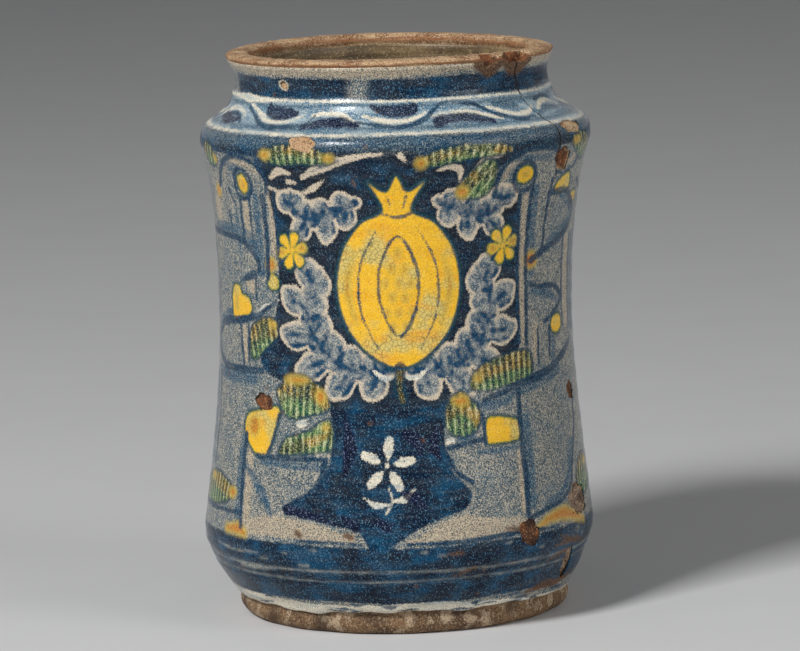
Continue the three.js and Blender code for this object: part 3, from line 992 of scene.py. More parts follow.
def paint_acanthus(paint, spine, reach, lobes, outer):
    """A leaf that curls along a spine, with large lobes on its outer side and small ones on its inner"""
    path = curve(spine, closed=False, steps=12)
    share = np.concatenate([[0], np.cumsum(np.hypot(*np.diff(path, axis=0).T))])
    pitch = share[-1] / lobes
    share = share / share[-1]

    def along(t):
        """The place at a share of the spine"""
        return np.array([np.interp(t, share, path[:, 0]), np.interp(t, share, path[:, 1])])

    paint.stroke("reserve", path, pitch * 0.6, pitch * 1.0, pitch * 0.5, curved=False)
    for i in range(lobes):
        t = (i + 0.5) / lobes
        root = along(t)
        ahead = along(min(t + 0.04, 1)) - along(max(t - 0.04, 0))
        ahead = ahead / np.hypot(*ahead)
        swell = reach * math.sin(math.pi * (0.16 + 0.72 * t))
        for sign, size in ((outer, 1.0), (-outer, 0.5)):
            across = sign * np.array([-ahead[1], ahead[0]])
            way = (0.85 * across + 0.5 * ahead) * swell * size
            elbow = root + 0.55 * way + 0.08 * swell * across
            notch = root - ahead * pitch * 0.5
            paint.stroke("reserve", [root, elbow, root + way], pitch * 0.7, pitch * 1.12, pitch * 0.62)
            paint.stroke("shade", [root + 0.1 * way, elbow, root + 0.8 * way], 1.4, 1.8, 0.6)
            paint.stroke("shade", [notch, notch + 0.6 * way, notch + 1.05 * way], 1.2, 2.6, 1.2)
    paint.stroke("shade", path, 2.4, 1.6, 0.8, curved=False)


def paint_pomegranate(paint, u, z):
    """A yellow pomegranate, split open over its seeds, with a crown and a stalk"""
    half = [(0, -27), (9, -23.5), (17, -15), (20.5, -3), (18.6, 9), (12, 18.4), (4.6, 22.6), (9, 31.5),
            (3.4, 28.4), (0, 33.5)]
    fruit = half + [(-a, b) for a, b in reversed(half[1:-1])]
    opening = [(0, -17), (4.6, -11), (6.6, -2), (5.2, 7), (0, 14.5), (-5.2, 7), (-6.6, -2), (-4.6, -11)]
    paint.blob("yellow", moved(fruit, u, z))
    for outline, width in ((fruit, 0.8), (opening, 1.0)):
        ring = curve(moved(outline, u, z), closed=True)
        paint.stroke("line", np.vstack([ring, ring[:1]]), width, curved=False)
    for row in range(-3, 3):
        for k in (-1, 1) if row % 2 else (-2, 0, 2):
            if abs(k) < 2 or row in (-2, 0):
                paint.spot("orange", u + 2.1 * k, z + 4.6 * row - 0.4, 2.6, 3.4)
    for side in (-1, 1):
        for layer, points, *widths in (
            ("line", [(7, -21), (12.6, -9), (12.4, 5), (6.6, 16.5)], 0.3, 0.9, 0.3),
            ("orange", [(14, -13), (17, -2), (14.6, 8)], 0.8, 2.8, 0.8),
            ("line", [(2, 23.6), (3, 27)], 0.6),
            ("slip", [(0, -29), (5, -30), (9, -27.4)], 0.6, 1.8, 0.5),
        ):
            paint.stroke(layer, moved(points, u, z, side), *widths)
    paint.stroke("line", moved([(-5, 21.6), (0, 20.2), (5, 21.6)], u, z), 1.1)
    paint.stroke("green", moved([(0, -27), (-0.8, -32), (0.6, -37)], u, z), 3.0, 2.2)


def petal_ways(count, turn):
    """Even directions round a flower, from the first one's turn in degrees"""
    turns = [math.radians(360 / count * k + turn) for k in range(count)]
    return [np.array([math.cos(each), math.sin(each)]) for each in turns]


def paint_flower(paint, u, z):
    """A yellow flower of six petals"""
    middle = np.array([u, z])
    for k, (way, gap) in enumerate(zip(petal_ways(6, 12), petal_ways(6, 42))):
        paint.stroke("yellow", [way * 1.2 + middle, way * 4.2 + middle], 1.2, 3.8)
        paint.stroke("line", [gap * 3.2 + middle, gap * 6.2 + middle], 0.3, 1.1)
        if k % 3 == 0:
            paint.spot("orange", *(way * 4.2 + middle), 3.4, 3.4)
    paint.spot("yellow", u, z, 2.4, 2.4)


def paint_sprig(paint, u, z):
    """A white blossom of five petals on a stem with two leaves"""
    for way in petal_ways(5, 84):
        petal = [way * reach + (u, z) for reach in (2.4, 5, 8)]
        paint.stroke("slip", petal, 0.8, 3.2, 2.4)
        paint.stroke("shade", petal[1:], 0.3, 0.6)
    paint.spot("slip", u, z, 1.6, 1.6)
    paint.stroke("slip", moved([(0.3, -7), (1.4, -11), (-0.6, -15)], u, z), 0.7, 0.5)
    paint.stroke("slip", moved([(1.2, -11), (5, -10.4), (8.4, -7.4)], u, z), 0.5, 2.4, 0.4)
    paint.stroke("slip", moved([(0.8, -12), (-3.6, -12.2), (-7.4, -10)], u, z), 0.5, 2.2, 0.4)


def paint_plant(paint, u):
    """A leafy stem with a bud, between the painting of the front and the back's"""
    paint.stroke("line", moved([(0.6, 54), (-1.2, 76), (1.2, 102), (-0.4, 126)], u, 0), 1.5, 1.2, 0.8)
    for k in range(6):
        for side in (-1, 1):
            root = 58 + 10.5 * k + 3 * side
            leaf = moved([(0, 0), (4.4, 4.6), (9.2 - 0.5 * k, 5.8)], u, root, side)
            paint.stroke("wash", leaf, 1.6, 5.0, 1.0)
            paint.stroke("line", leaf, 0.9, 0.5)
    paint.spot("yellow", u - 0.4, 132, 8, 10)
    paint.spot("orange", u - 1.0, 133, 3, 4.4)
    paint.stroke("line", moved([(-4.4, 127.4), (-0.4, 129.4), (3.6, 127.4)], u, 0), 0.9)


def paint_field(paint):
    """The dark field, with a pomegranate between acanthus leaves, and flowers round it"""
    middle = 1
    low = [(3, 84.5), (14, 84), (24, 88.5), (30.5, 97.5), (31, 108), (26.5, 115)]
    high = [(13, 137), (20.5, 134), (28, 131.5), (34, 134), (35, 139.5)]
    paint.blob("ink", FIELD)
    paint.strokes(FIELD_STROKES)
    for side in (-1, 1):
        paint_acanthus(paint, moved(low, middle, 0, side), 11.5, 6, -side)
        paint_acanthus(paint, moved(high, middle, 0, side), 7.5, 4, -side)
        paint_flower(paint, middle + side * 36.5, 121.5)
    paint_pomegranate(paint, middle, 112)
    paint_sprig(paint, -4, 55)


def paint_wave(paint):
    """The wave: as it is seen in front, and the same in even turns round the back"""
    for points in RIBBONS:
        paint.stroke("slip", points, *RIBBON_WIDTHS)
    for points in RIBBON_LINES:
        paint.stroke("line", points, *RIBBON_LINE_WIDTHS)
    paint.strokes(WAVE_STROKES)
    span = (CIRCUIT + WAVE_START - WAVE_END) / WAVES_BACK
    for k in range(2 * WAVES_BACK):
        start = WAVE_END + k * span / 2
        crest = k % 2
        ribbon = [(start + a * span, WAVE_MIRROR - b if crest else b) for a, b in TROUGH]
        comma = [(start + a * span, b - 3.6 * crest) for a, b in TROUGH_COMMA]
        paint.stroke("slip", ribbon, *RIBBON_WIDTHS)
        paint.stroke("line", [(a, b - 1.6) for a, b in ribbon], *RIBBON_LINE_WIDTHS)
        paint.stroke("dark", comma, 3.2 - crest, 3.8 - crest, 3.4 - crest, 1.4)


def paint_bands(paint, random):
    """Bands round the neck, shoulder and foot, with dabs and worn flecks over the lowest"""
    u, z = np.meshgrid(paint.around, paint.up)
    bearing = u / PAINT_RADIUS

    def add(layer, inside):
        """Adds distances over the whole jar to a layer"""
        paint.layers[layer] = np.maximum(paint.layers[layer], inside)

    for layer, low, high, wander in BANDS:
        drift = wander * (np.sin(3 * bearing + low) + 0.6 * np.sin(7 * bearing + high))
        add(layer, np.minimum(z - low - drift, high + 0.7 * drift - z))
    upper = FOOT_BAND_HIGH - FOOT_BAND_NARROWING * ramp(u, 10, 50) * (u < 110)
    add("slip", np.minimum(z - FOOT_BAND_LOW, upper + 0.5 * np.sin(5 * bearing) - z))
    paint.strokes(BAND_STROKES)
    for _ in range(DABS):
        start = random.uniform(-CIRCUIT / 2, CIRCUIT / 2)
        level = random.choice(DAB_LEVELS) + random.uniform(-0.8, 0.8)
        run = random.uniform(3, 10)
        bow = random.uniform(-0.6, 0.6)
        dab = [(start, level), (start + run / 2, level + bow), (start + run, level)]
        paint.stroke("line", dab, 0.4, random.uniform(0.6, 1.6), 0.3)
    for _ in range(DABS):
        start = random.uniform(-CIRCUIT / 2, CIRCUIT / 2)
        level = random.uniform(*FLECK_LEVELS)
        paint.stroke("worn", [(start, level), (start + random.uniform(1, 3), level)], 0.4, 1.0)


def paint_wear(paint, random):
    """The crack, the stains, and small scrapes all over"""
    paint.strokes(WEAR_STROKES)
    for _ in range(SCRAPES):
        u, z = random.uniform(-CIRCUIT / 2, CIRCUIT / 2), random.uniform(6, 176)
        size = random.uniform(0.4, 1.0)
        paint.spot("stain", u, z, size, size)


# Materials

NOISE_ROUGHNESS = 0.55


def tone(red, green, blue):
    """A colour given in screen values, as the shader takes it"""
    linear = [c / 3294.6 if c <= 10 else ((c / 255 + 0.055) / 1.055) ** 2.4 for c in (red, green, blue)]
    return (*linear, 1.0)


class Finish:
    """A node material, with short calls for the nodes that it is made of. Sizes are in millimetres."""

    def __init__(self, name):
        self.material = bpy.data.materials.new(name)
        self.material.use_nodes = True
        self.tree = self.material.node_tree
        self.shader = self.tree.nodes["Principled BSDF"]
        self.place = self.node("ShaderNodeTexCoord").outputs["Object"]

    def node(self, kind, **settings):
        """A new node, with its settings"""
        made = self.tree.nodes.new(kind)
        for name, value in settings.items():
            setattr(made, name, value)
        return made

    def feed(self, socket, value):
        """Links a socket to another node's, or sets its value"""
        if isinstance(value, bpy.types.NodeSocket):
            self.tree.links.new(value, socket)
        else:
            socket.default_value = value

    def math(self, operation, *values):
        """A sum of two or three values, by the operation named"""
        made = self.node("ShaderNodeMath", operation=operation)
        for socket, value in zip(made.inputs, values):
            self.feed(socket, value)
        return made.outputs[0]

    def layer(self, name):
        """A layer of values at the mesh points"""
        return self.node("ShaderNodeAttribute", attribute_name=name).outputs["Fac"]

    def noise(self, size, detail=2.0, squeezed=None):
        """Noise with features of about a size. It can be squeezed by two amounts, sideways and upwards."""
        made = self.node("ShaderNodeTexNoise")
        where = self.place
        if squeezed:
            mapping = self.node("ShaderNodeMapping")
            self.feed(mapping.inputs["Vector"], self.place)
            mapping.inputs["Scale"].default_value = (squeezed[0], squeezed[0], squeezed[1])
            where = mapping.outputs[0]
        self.feed(made.inputs["Vector"], where)
        made.inputs["Scale"].default_value = 1 / (size * MM)
        made.inputs["Detail"].default_value = detail
        made.inputs["Roughness"].default_value = NOISE_ROUGHNESS
        return made.outputs["Fac"]

    def cells(self, size, feature):
        """Distances in a pattern of cells: to their edges, or to a point in each"""
        made = self.node("ShaderNodeTexVoronoi", feature=feature)
        self.feed(made.inputs["Vector"], self.place)
        made.inputs["Scale"].default_value = 1 / (size * MM)
        return made.outputs["Distance"]

    def between(self, value, low, high, start=0.0, end=1.0):
        """A smooth step from one value to another"""
        made = self.node("ShaderNodeMapRange", interpolation_type="SMOOTHSTEP")
        for socket, number in zip(made.inputs, (value, low, high, start, end)):
            self.feed(socket, number)
        return made.outputs[0]

    def over(self, below, above, share):
        """A share of one colour over another. Colours are node outputs or screen values."""
        made = self.node("ShaderNodeMix", data_type="RGBA")
        self.feed(made.inputs[0], share)
        for socket, colour in ((made.inputs[6], below), (made.inputs[7], above)):
            self.feed(socket, tone(*colour) if isinstance(colour, tuple) else colour)
        return made.outputs[2]

    def laid(self, below, above, pattern, low, high, end=1.0, start=0.0):
        """One colour over another by a smooth step in a pattern"""
        return self.over(below, above, self.between(pattern, low, high, start, end))

    def bumped(self, height):
        """Gives the surface a relief, from heights in millimetres"""
        made = self.node("ShaderNodeBump")
        made.inputs["Strength"].default_value = 1.0
        made.inputs["Distance"].default_value = MM
        self.feed(made.inputs["Height"], height)
        self.feed(self.shader.inputs["Normal"], made.outputs[0])

    def finished(self, colour, roughness, specular):
        """The material, with its colour and gloss set"""
        self.feed(self.shader.inputs["Base Color"], colour)
        self.feed(self.shader.inputs["Roughness"], roughness)
        self.shader.inputs["Specular IOR Level"].default_value = specular
        return self.material


class PaintedGlaze(Finish):
    """Tin glaze over-fired to a grainy grey, painted in blue, yellow, orange and green"""

    def __init__(self):
        super().__init__("painted_tin_glaze")
        self.fine = self.noise(0.43, 0.0)
        self.grain = self.noise(0.37, 0.0, (1.0, 1.07))
        self.specks = self.noise(0.46, 0.0, (1.13, 0.97))
        self.mottle = self.noise(2.3, 1.0)
        self.warp = self.noise(3.2, 1.0)
        self.cloud = self.noise(14, 2.0)
        self.brush = self.noise(1.7, 2.5, (0.14, 1.0))
        self.strokes = self.noise(5, 2.0, (0.5, 1.0))
        waver = self.math("MULTIPLY_ADD", self.warp, 0.9, -0.45)
        self.wander = self.math("ADD", waver, self.math("MULTIPLY_ADD", self.fine, 1.0, -0.5))
        self.reserve, self.yellow = self.edge("reserve"), self.edge("yellow")
        self.faded = self.between(self.cloud, 0.46, 0.62)
        self.crazing = self.cells(1.45, "DISTANCE_TO_EDGE")
        holes = self.between(self.cells(7.5, "F1"), 0.03, 0.055, 1, 0)
        self.pinholes = self.math("MULTIPLY", holes, self.between(self.noise(30), 0.5, 0.56))
        crack = self.math("MULTIPLY_ADD", self.wander, 0.4, self.layer("crack"))
        self.split = self.between(crack, -0.1, 0.16)

    def edge(self, layer):
        """How far inside a layer's painting, with an edge that wanders as glaze does"""
        return self.math("ADD", self.layer(layer), self.wander)

    def share(self, layer, soft, strength=1.0):
        """How strongly a layer is painted, with an edge as soft as given"""
        return self.between(self.edge(layer), -soft, soft, 0, strength)

    def patchy(self, layer, soft, low, high, pattern):
        """A layer painted more or less strongly by a pattern"""
        return self.math("MULTIPLY", self.share(layer, soft), self.between(pattern, 0.3, 0.7, low, high))

    def speckled(self, colour, light, dark, amount):
        """Light and dark specks of the glaze, as strong as the amount"""
        colour = self.laid(colour, light, self.specks, 0.54, 0.66, amount)
        return self.laid(colour, dark, self.grain, 0.54, 0.66, amount)

    def ground(self):
        """The grainy ground, buff where it was left thin"""
        colour = self.laid((72, 90, 98), (158, 158, 150), self.fine, 0.4, 0.6)
        colour = self.laid(colour, (50, 82, 100), self.mottle, 0.5, 0.7, 0.6)
        colour = self.laid(colour, (186, 180, 166), self.mottle, 0.28, 0.46, 0, 0.45)
        colour = self.laid(colour, (72, 104, 122), self.cloud, 0.42, 0.66, 0.5)
        buff = self.math("MULTIPLY", self.share("tan", 0.7), self.between(self.fine, 0.4, 0.56, 0.4, 0.85))
        colour = self.over(colour, (202, 182, 152), buff)
        return self.speckled(colour, (214, 200, 174), (14, 38, 58), 0.72)

    def pale(self):
        """The brushed pale blue under the wave"""
        colour = self.laid((84, 122, 146), (156, 176, 184), self.brush, 0.38, 0.6)
        return self.speckled(colour, (198, 202, 196), (40, 78, 106), 0.7)

    def washed(self):
        """Thin blue washes"""
        colour = self.laid((16, 58, 88), (74, 110, 130), self.fine, 0.42, 0.62)
        return self.speckled(colour, (146, 160, 160), (4, 28, 52), 0.6)

    def deep(self):
        """The deepest blue, darker still beside what is left pale or painted yellow"""
        colour = self.laid((0, 22, 48), (2, 70, 104), self.strokes, 0.4, 0.66)
        colour = self.laid(colour, (0, 8, 34), self.cloud, 0.48, 0.64, 0.85)
        colour = self.laid(colour, (66, 120, 150), self.specks, 0.6, 0.69, 0.75)
        colour = self.laid(colour, (0, 6, 24), self.grain, 0.52, 0.64, 0.75)
        beside = self.math("MAXIMUM", self.layer("reserve"), self.layer("yellow"))
        beside = self.between(self.math("MULTIPLY_ADD", self.wander, 1.6, beside), -3.6, -0.9, 0, 0.75)
        beside = self.math("MULTIPLY", beside, self.between(self.strokes, 0.34, 0.6, 0.35, 1.0))
        return self.over(colour, (0, 5, 22), beside)

    def leaf(self):
        """Leaves left pale in the dark field, with a buff edge"""
        colour = self.laid((108, 122, 130), (170, 170, 162), self.fine, 0.42, 0.6)
        colour = self.laid(colour, (26, 74, 102), self.warp, 0.44, 0.58, 0.75)
        colour = self.over((220, 202, 176), colour, self.between(self.reserve, 0.7, 1.8, 0.1, 1))
        return self.speckled(colour, (214, 200, 174), (50, 74, 90), 0.6)

    def blues(self):
        """The ground and all that is painted in blue, pale and white, each over the one before"""
        colour = self.over(self.ground(), self.pale(), self.share("pale", 0.4))
        colour = self.over(colour, self.washed(), self.patchy("wash", 0.7, 0.6, 1.0, self.brush))
        # Where the ink is thinned the wash below shows: soft ends of the bands, and on the shoulder edge
        # partly a painted highlight.
        thick = self.between(self.edge("thin"), -3.5, 1.5, 1, 0.12)
        inked = self.math("MULTIPLY", self.patchy("ink", 0.4, 0.9, 1.0, self.brush), thick)
        colour = self.over(colour, self.deep(), inked)
        colour = self.over(colour, self.leaf(), self.between(self.reserve, -0.3, 0.3))
        shaded = self.math("MINIMUM", self.share("shade", 0.6), self.between(self.reserve, 0.5, 1.4))
        shaded = self.math("MULTIPLY", shaded, self.between(self.warp, 0.36, 0.56, 0.5, 1.0))
        shade = self.laid((4, 42, 74), (34, 80, 108), self.fine, 0.42, 0.62)
        colour = self.over(colour, shade, shaded)
        cream = self.laid((228, 220, 200), (180, 188, 186), self.brush, 0.46, 0.66)
        cream = self.speckled(cream, (250, 242, 220), (136, 130, 112), 0.6)
        return self.over(colour, cream, self.share("slip", 0.3, 0.95))

    def yellows(self, colour):
        """Yellow with a greenish rim, in a dark outline"""
        yellow = self.over((246, 190, 40), (214, 194, 116), self.faded)
        yellow = self.laid(yellow, (238, 160, 26), self.strokes, 0.52, 0.7, 0.6)
        yellow = self.speckled(yellow, (250, 214, 100), (176, 134, 50), 0.5)
        yellow = self.laid((150, 150, 58), yellow, self.yellow, -0.1, 0.7)
        colour = self.laid(colour, (14, 62, 70), self.yellow, -1.5, -0.2, 0.85)
        return self.laid(colour, yellow, self.yellow, -0.4, 0.3)

    def greens(self, colour):
        """Tufts of leaves with pale ribs, mossy towards the foot"""
        rib, mossy, leafy = self.edge("rib"), self.share("moss", 1.2), self.edge("green")
        ambered = self.between(self.noise(8, 1.0), 0.42, 0.58)
        tuft = self.over(self.over((48, 58, 34), (84, 68, 24), ambered), (8, 76, 62), mossy)
        tuft = self.laid(tuft, (10, 40, 54), self.mottle, 0.42, 0.58, 0.8)
        ribs = self.over(self.over((92, 104, 52), (190, 148, 48), ambered), (112, 150, 84), mossy)
        tuft = self.laid(tuft, ribs, rib, -0.4, 0.4)
        tuft = self.laid(tuft, (218, 216, 178), rib, 0.15, 0.65, 0.9)
        tuft = self.speckled(tuft, (190, 188, 140), (12, 34, 40), 0.5)
        colour = self.laid(colour, (12, 54, 72), leafy, -1.0, -0.1, 0.85)
        return self.laid(colour, tuft, leafy, -0.3, 0.9, 0.96)

    def lines(self, colour):
        """Orange smears, then blue lines and dark commas, and what has rubbed off"""
        amber = self.laid((204, 176, 74), (200, 126, 32), self.layer("orange"), 0.2, 1.8)
        amber = self.speckled(amber, (222, 190, 106), (120, 76, 28), 0.45)
        colour = self.over(colour, amber, self.share("orange", 1.3, 0.88))
        line = self.laid((2, 30, 56), (24, 68, 96), self.fine, 0.44, 0.62)
        line = self.laid(line, (96, 128, 142), self.specks, 0.6, 0.7, 0.5)
        colour = self.over(colour, line, self.patchy("line", 0.35, 0.8, 1.0, self.strokes))
        dark = self.laid((2, 8, 30), (24, 34, 66), self.fine, 0.46, 0.62)
        dark = self.laid(dark, (120, 136, 164), self.specks, 0.61, 0.69, 0.6)
        colour = self.over(colour, dark, self.patchy("dark", 0.45, 0.86, 1.0, self.strokes))
        rubbed = self.laid((184, 178, 164), (96, 112, 118), self.fine, 0.42, 0.6)
        worn = self.math("MULTIPLY", self.share("worn", 0.7, 0.85), self.between(self.brush, 0.36, 0.5))
        return self.over(colour, rubbed, worn)

    def aged(self, colour):
        """Crackle, brown stains, pinholes, the pale edge of a newer flake, and the crack"""
        crazed = self.between(self.crazing, 0.02, 0.08, 1, 0)
        crazed = self.math("MULTIPLY", crazed, self.between(self.layer("yellow"), -0.2, 0.4, 0.08, 0.62))
        crazed = self.math("MULTIPLY", crazed, self.between(self.faded, 0.0, 1.0, 0.2, 1.0))
        colour = self.over(colour, (104, 96, 64), crazed)
        rusty = self.laid((64, 46, 36), (122, 88, 60), self.fine, 0.44, 0.6)
        colour = self.over(colour, rusty, self.share("stain", 0.8, 0.94))
        colour = self.over(colour, (52, 36, 30), self.pinholes)
        fresh = self.math("MULTIPLY_ADD", self.wander, 0.8, self.layer("fresh"))
        colour = self.laid(colour, (214, 204, 182), fresh, -0.6, -0.15, 0.7)
        return self.over(colour, (28, 20, 18), self.split)

    def roughness(self):
        """Glossy, duller where it is grainy or stained"""
        rough = self.between(self.warp, 0.3, 0.7, 0.1, 0.2)
        rough = self.math("ADD", rough, self.between(self.grain, 0.5, 0.7, 0, 0.14))
        return self.math("ADD", rough, self.share("stain", 0.8, 0.3))

    def relief(self):
        """Heights in millimetres: waves, grain, brush marks, crackle, lines, and what is open"""
        height = self.math("MULTIPLY", self.noise(4.5, 1.0), 0.055)
        for pattern, size in (
            (self.grain, 0.006),
            (self.brush, 0.018),
            (self.between(self.crazing, 0.0, 0.05), 0.012),
            (self.share("line", 0.5), 0.02),
            (self.math("ADD", self.split, self.pinholes), -0.25),
        ):
            height = self.math("MULTIPLY_ADD", pattern, size, height)
        return height


def painted_glaze():
    """The outside's glaze with its painting, each kind of colour over the one before"""
    f = PaintedGlaze()
    f.bumped(f.relief())
    colour = f.aged(f.lines(f.greens(f.yellows(f.blues()))))
    return f.finished(colour, f.roughness(), specular=0.19)


def bare_clay():
    """Fired clay: tan and worn on the lip, browner on the foot, dark and rough where it is chipped, and
    lighter where the glaze flaked, partly as painted light
    """
    f = Finish("bare_fired_clay")
    fine = f.noise(0.5, 1.0)
    grit = f.noise(0.6, 1.0, (1.1, 0.93))
    cloud = f.noise(9, 3.0)
    turned = f.noise(0.9, 2.0, (0.06, 1.0))
    colour = f.laid((194, 160, 122), (146, 106, 74), cloud, 0.38, 0.62)
    colour = f.laid(colour, (116, 70, 44), turned, 0.54, 0.7, 0.6)
    colour = f.laid(colour, (222, 198, 162), grit, 0.53, 0.64, 0.8)
    reddish = f.laid((138, 88, 56), (178, 132, 92), fine, 0.42, 0.6)
    warmth = f.math("MULTIPLY", f.layer("warm"), f.between(turned, 0.36, 0.56, 0.35, 1))
    colour = f.over(colour, reddish, warmth)
    foot = f.laid((124, 96, 68), (88, 66, 48), cloud, 0.4, 0.62)
    foot = f.laid(foot, (182, 160, 132), f.noise(4.5, 3.0), 0.5, 0.62, 0.8)
    foot = f.laid(foot, (196, 172, 138), grit, 0.54, 0.64, 0.4)
    # Clay bared by flaked glaze is lighter: partly its own colour under the glaze, partly painted light
    # where those faces catch the lamp.
    under = f.laid((214, 184, 146), (186, 148, 110), cloud, 0.36, 0.66)
    under = f.laid(under, (120, 88, 66), grit, 0.55, 0.65, 0.6)
    raw = f.laid((128, 78, 46), (72, 44, 30), cloud, 0.38, 0.6)
    raw = f.laid(raw, (180, 132, 92), grit, 0.54, 0.66, 0.75)
    scraped = f.laid((166, 142, 120), (128, 106, 88), fine, 0.42, 0.6)
    for layer, look in (("low", foot), ("flaked", under), ("raw", raw), ("scraped", scraped)):
        colour = f.over(colour, look, f.layer(layer))
    colour = f.laid(colour, (52, 34, 24), fine, 0.54, 0.64, 0.75)
    colour = f.over(colour, (40, 26, 22), f.layer("grime"))
    relief = f.math("MULTIPLY_ADD", turned, 0.07, f.math("MULTIPLY", fine, 0.08))
    f.bumped(f.math("MULTIPLY_ADD", f.math("MULTIPLY", grit, f.layer("raw")), 0.35, relief))
    return f.finished(colour, f.between(fine, 0.3, 0.7, 0.68, 0.9), specular=0.3)


def lining_finish():
    """The thin lining: a brownish glaze with streaks from throwing, and patches that grow darker towards
    the floor
    """
    f = Finish("brown_lining_glaze")
    fine = f.noise(0.75, 2.0)
    cloud = f.noise(16, 3.0)
    turned = f.noise(1.6, 3.0, (0.06, 1.0))
    colour = f.laid((142, 120, 88), (98, 80, 54), turned, 0.36, 0.64)
    colour = f.laid(colour, (66, 54, 40), cloud, 0.48, 0.72, 0.7)
    colour = f.laid(colour, (180, 162, 128), fine, 0.56, 0.66, 0.6)
    colour = f.over(colour, (48, 38, 32), f.layer("darker_towards_floor"))
    colour = f.laid(colour, (58, 46, 38), f.cells(2.8, "DISTANCE_TO_EDGE"), 0.02, 0.07, 0, 0.35)
    f.bumped(f.math("MULTIPLY_ADD", turned, 0.1, f.math("MULTIPLY", fine, 0.03)))
    return f.finished(colour, f.between(cloud, 0.3, 0.7, 0.34, 0.55), specular=0.5)


# The pieces

def painted_layers(around, up, random):
    """All the painting, as distances on a grid of places round the jar and up it"""
    paint = Painting(LAYERS, around, up)
    paint_bands(paint, random)
    paint_wave(paint)
    for shift, flip in ((0, 1), (CIRCUIT / 2, -1)):
        paint.shift, paint.flip = shift, flip
        paint_scrolls(paint)
        paint_tufts(paint)
        paint_field(paint)
    paint.shift, paint.flip = 0, 1
    for side in (-1, 1):
        paint_plant(paint, side * CIRCUIT / 4)
    paint_wear(paint, random)
    return paint.layers


def build_coat(random):
    """The painted glaze outside, with a gathered lower edge and its breaks cut through"""
    round_jar = bearings(COLUMNS)
    along = np.linspace(0, COAT.length, int(COAT.length / COAT_ROW) + 1)
    bearing, mark = np.meshgrid(round_jar, along)
    lift = EDGE_LIFT + sum(size * np.sin(turns * bearing + phase) for size, turns, phase in EDGE_WAVES)
    distance = mark + lift * ramp(mark, EDGE_REACH, 0) ** 2
    from_edge = np.minimum(distance - lift, COAT.length - distance) / OUTSIDE_GLAZE
    fall = np.clip(1 - (1 - np.clip(from_edge, 0, 1)) ** 2, 0.01, 1)
    rounding = OUTSIDE_GLAZE * (1 - np.sqrt(fall))
    roll = np.exp(-(((mark - ROLL_MIDDLE) / ROLL_WIDTH) ** 2))
    gathered = ROLL_LUMPS * ripple(bearing * PAINT_RADIUS, mark, 9, 5) * roll
    radius, height = COAT.at(distance, gathered - rounding)
    back_radius, back_height = COAT.at(distance, -OUTSIDE_GLAZE)
    nominal = cylinder_points(radius, height, bearing)
    layers = painted_layers(round_jar * PAINT_RADIUS, COAT.at(along)[1], random)
    layers["fresh"] = inside_any(nominal, [FLAKE_SHAPES[i] for i in PALE_EDGED_FLAKES])
    outer, inner = place(radius, height, bearing), place(back_radius, back_height, bearing)
    piece = build_shell("painted_glaze_coat", outer, inner, inside_any(nominal, BREAKS), layers)
    piece.data.materials.append(painted_glaze())
    return piece


def body_grid():
    """Bearings round the clay and places along its outline, dense near its breaks, lip and foot"""
    round_jar = bearings(COLUMNS)
    coarse = np.arange(0, BODY.length, BODY_ROW)
    radius, height = BODY.at(coarse)
    nominal = cylinder_points(radius[:, None], height[:, None], round_jar[None])
    near = inside_any(nominal, BREAKS) > -NEAR_BREAK
    lip = height > HEIGHT - LINING_DROP - 3
    foot = (radius > RESTING_RADIUS - 10) & (height < 9)
    busy = near.any(1) | lip | foot
    marks = []
    for start, end, dense in zip(coarse, coarse[1:], busy[:-1] | busy[1:]):
        marks.extend(np.linspace(start, end, BODY_ROW_SPLITS if dense else 1, endpoint=False))
    return round_jar[thinned(near.any(0), BODY_THINNING)], np.array(marks + [BODY.length])


def clay_layers(nominal, outside, radius, height, around, mark):
    """Shares of each look of the clay: raw, scraped, under flaked glaze (lighter, partly painted light),
    low down, warm and grimy
    """
    chipped = [ramp(chip.inside(nominal), 0, 0.6) for chip in CHIP_SHAPES]
    darkened = [ramp(FLAKE_SHAPES[i].inside(nominal), -1, 0) for i in DARK_FLAKES]
    raw = np.maximum.reduce(chipped + darkened) * outside
    scraped = ramp(inside_any(nominal, [CHIP_SHAPES[i] for i in SCRAPED_CHIPS]), -0.3, 0.3) * outside
    neck_top = HEIGHT - NECK_DROP + 4
    # Clay under the glaze, seen where it flaked: shown lighter, partly its own colour, partly painted
    # light.
    flaked = ramp(height, neck_top, neck_top - 2) * ramp(height, 14, 18) * outside
    under_lip = ramp(abs(height - 178.3), 1.12, 0.32) * outside
    warm = np.maximum(under_lip, ramp(height, 179.4, 178.6) * ~outside * (height > 170))
    grime = np.clip(0.5 * ripple(around, mark, 7, 13) - 0.1, 0, 0.8) * (height < 9)
    grime = np.maximum(grime, raw * np.clip(0.6 * ripple(around, mark, 3, 14), 0, 0.7))
    return {
        "low": ramp(height, 60, 40),
        "flaked": flaked,
        "raw": raw,
        "scraped": scraped,
        "warm": warm,
        "grime": grime,
    }


def build_body():
    """The thrown clay, dug out where it is chipped, with an uneven rim and foot"""
    columns, marks = body_grid()
    bearing, mark = np.meshgrid(columns, marks)
    around = bearing * PAINT_RADIUS
    radius, height = BODY.at(mark)
    outside = mark < BODY.marks[np.argmax(BODY.height)] + 8
    nominal = cylinder_points(radius, height, bearing)
    dug = nominal
    for chip in CHIP_SHAPES:
        dug = np.where(outside[..., None], chip.dig(dug), dug)
    uneven = 0.12 * ripple(around, mark, 2.4, 11) * (height > HEIGHT - 3)
    lumpy = 0.3 * ripple(around, height, 8, 12) * ramp(height, 6, 0) * (radius > RESTING_RADIUS + 0.5)
    reach = np.hypot(dug[..., 0], dug[..., 1])
    turn = np.where(reach > 0.01, np.arctan2(dug[..., 0], -dug[..., 1]), bearing)
    points = place(reach + lumpy, dug[..., 2] + uneven, turn)
    layers = clay_layers(nominal, outside, radius, height, around, mark)
    piece = build_lathe("thrown_clay_body", points, layers)
    piece.data.materials.append(bare_clay())
    return piece


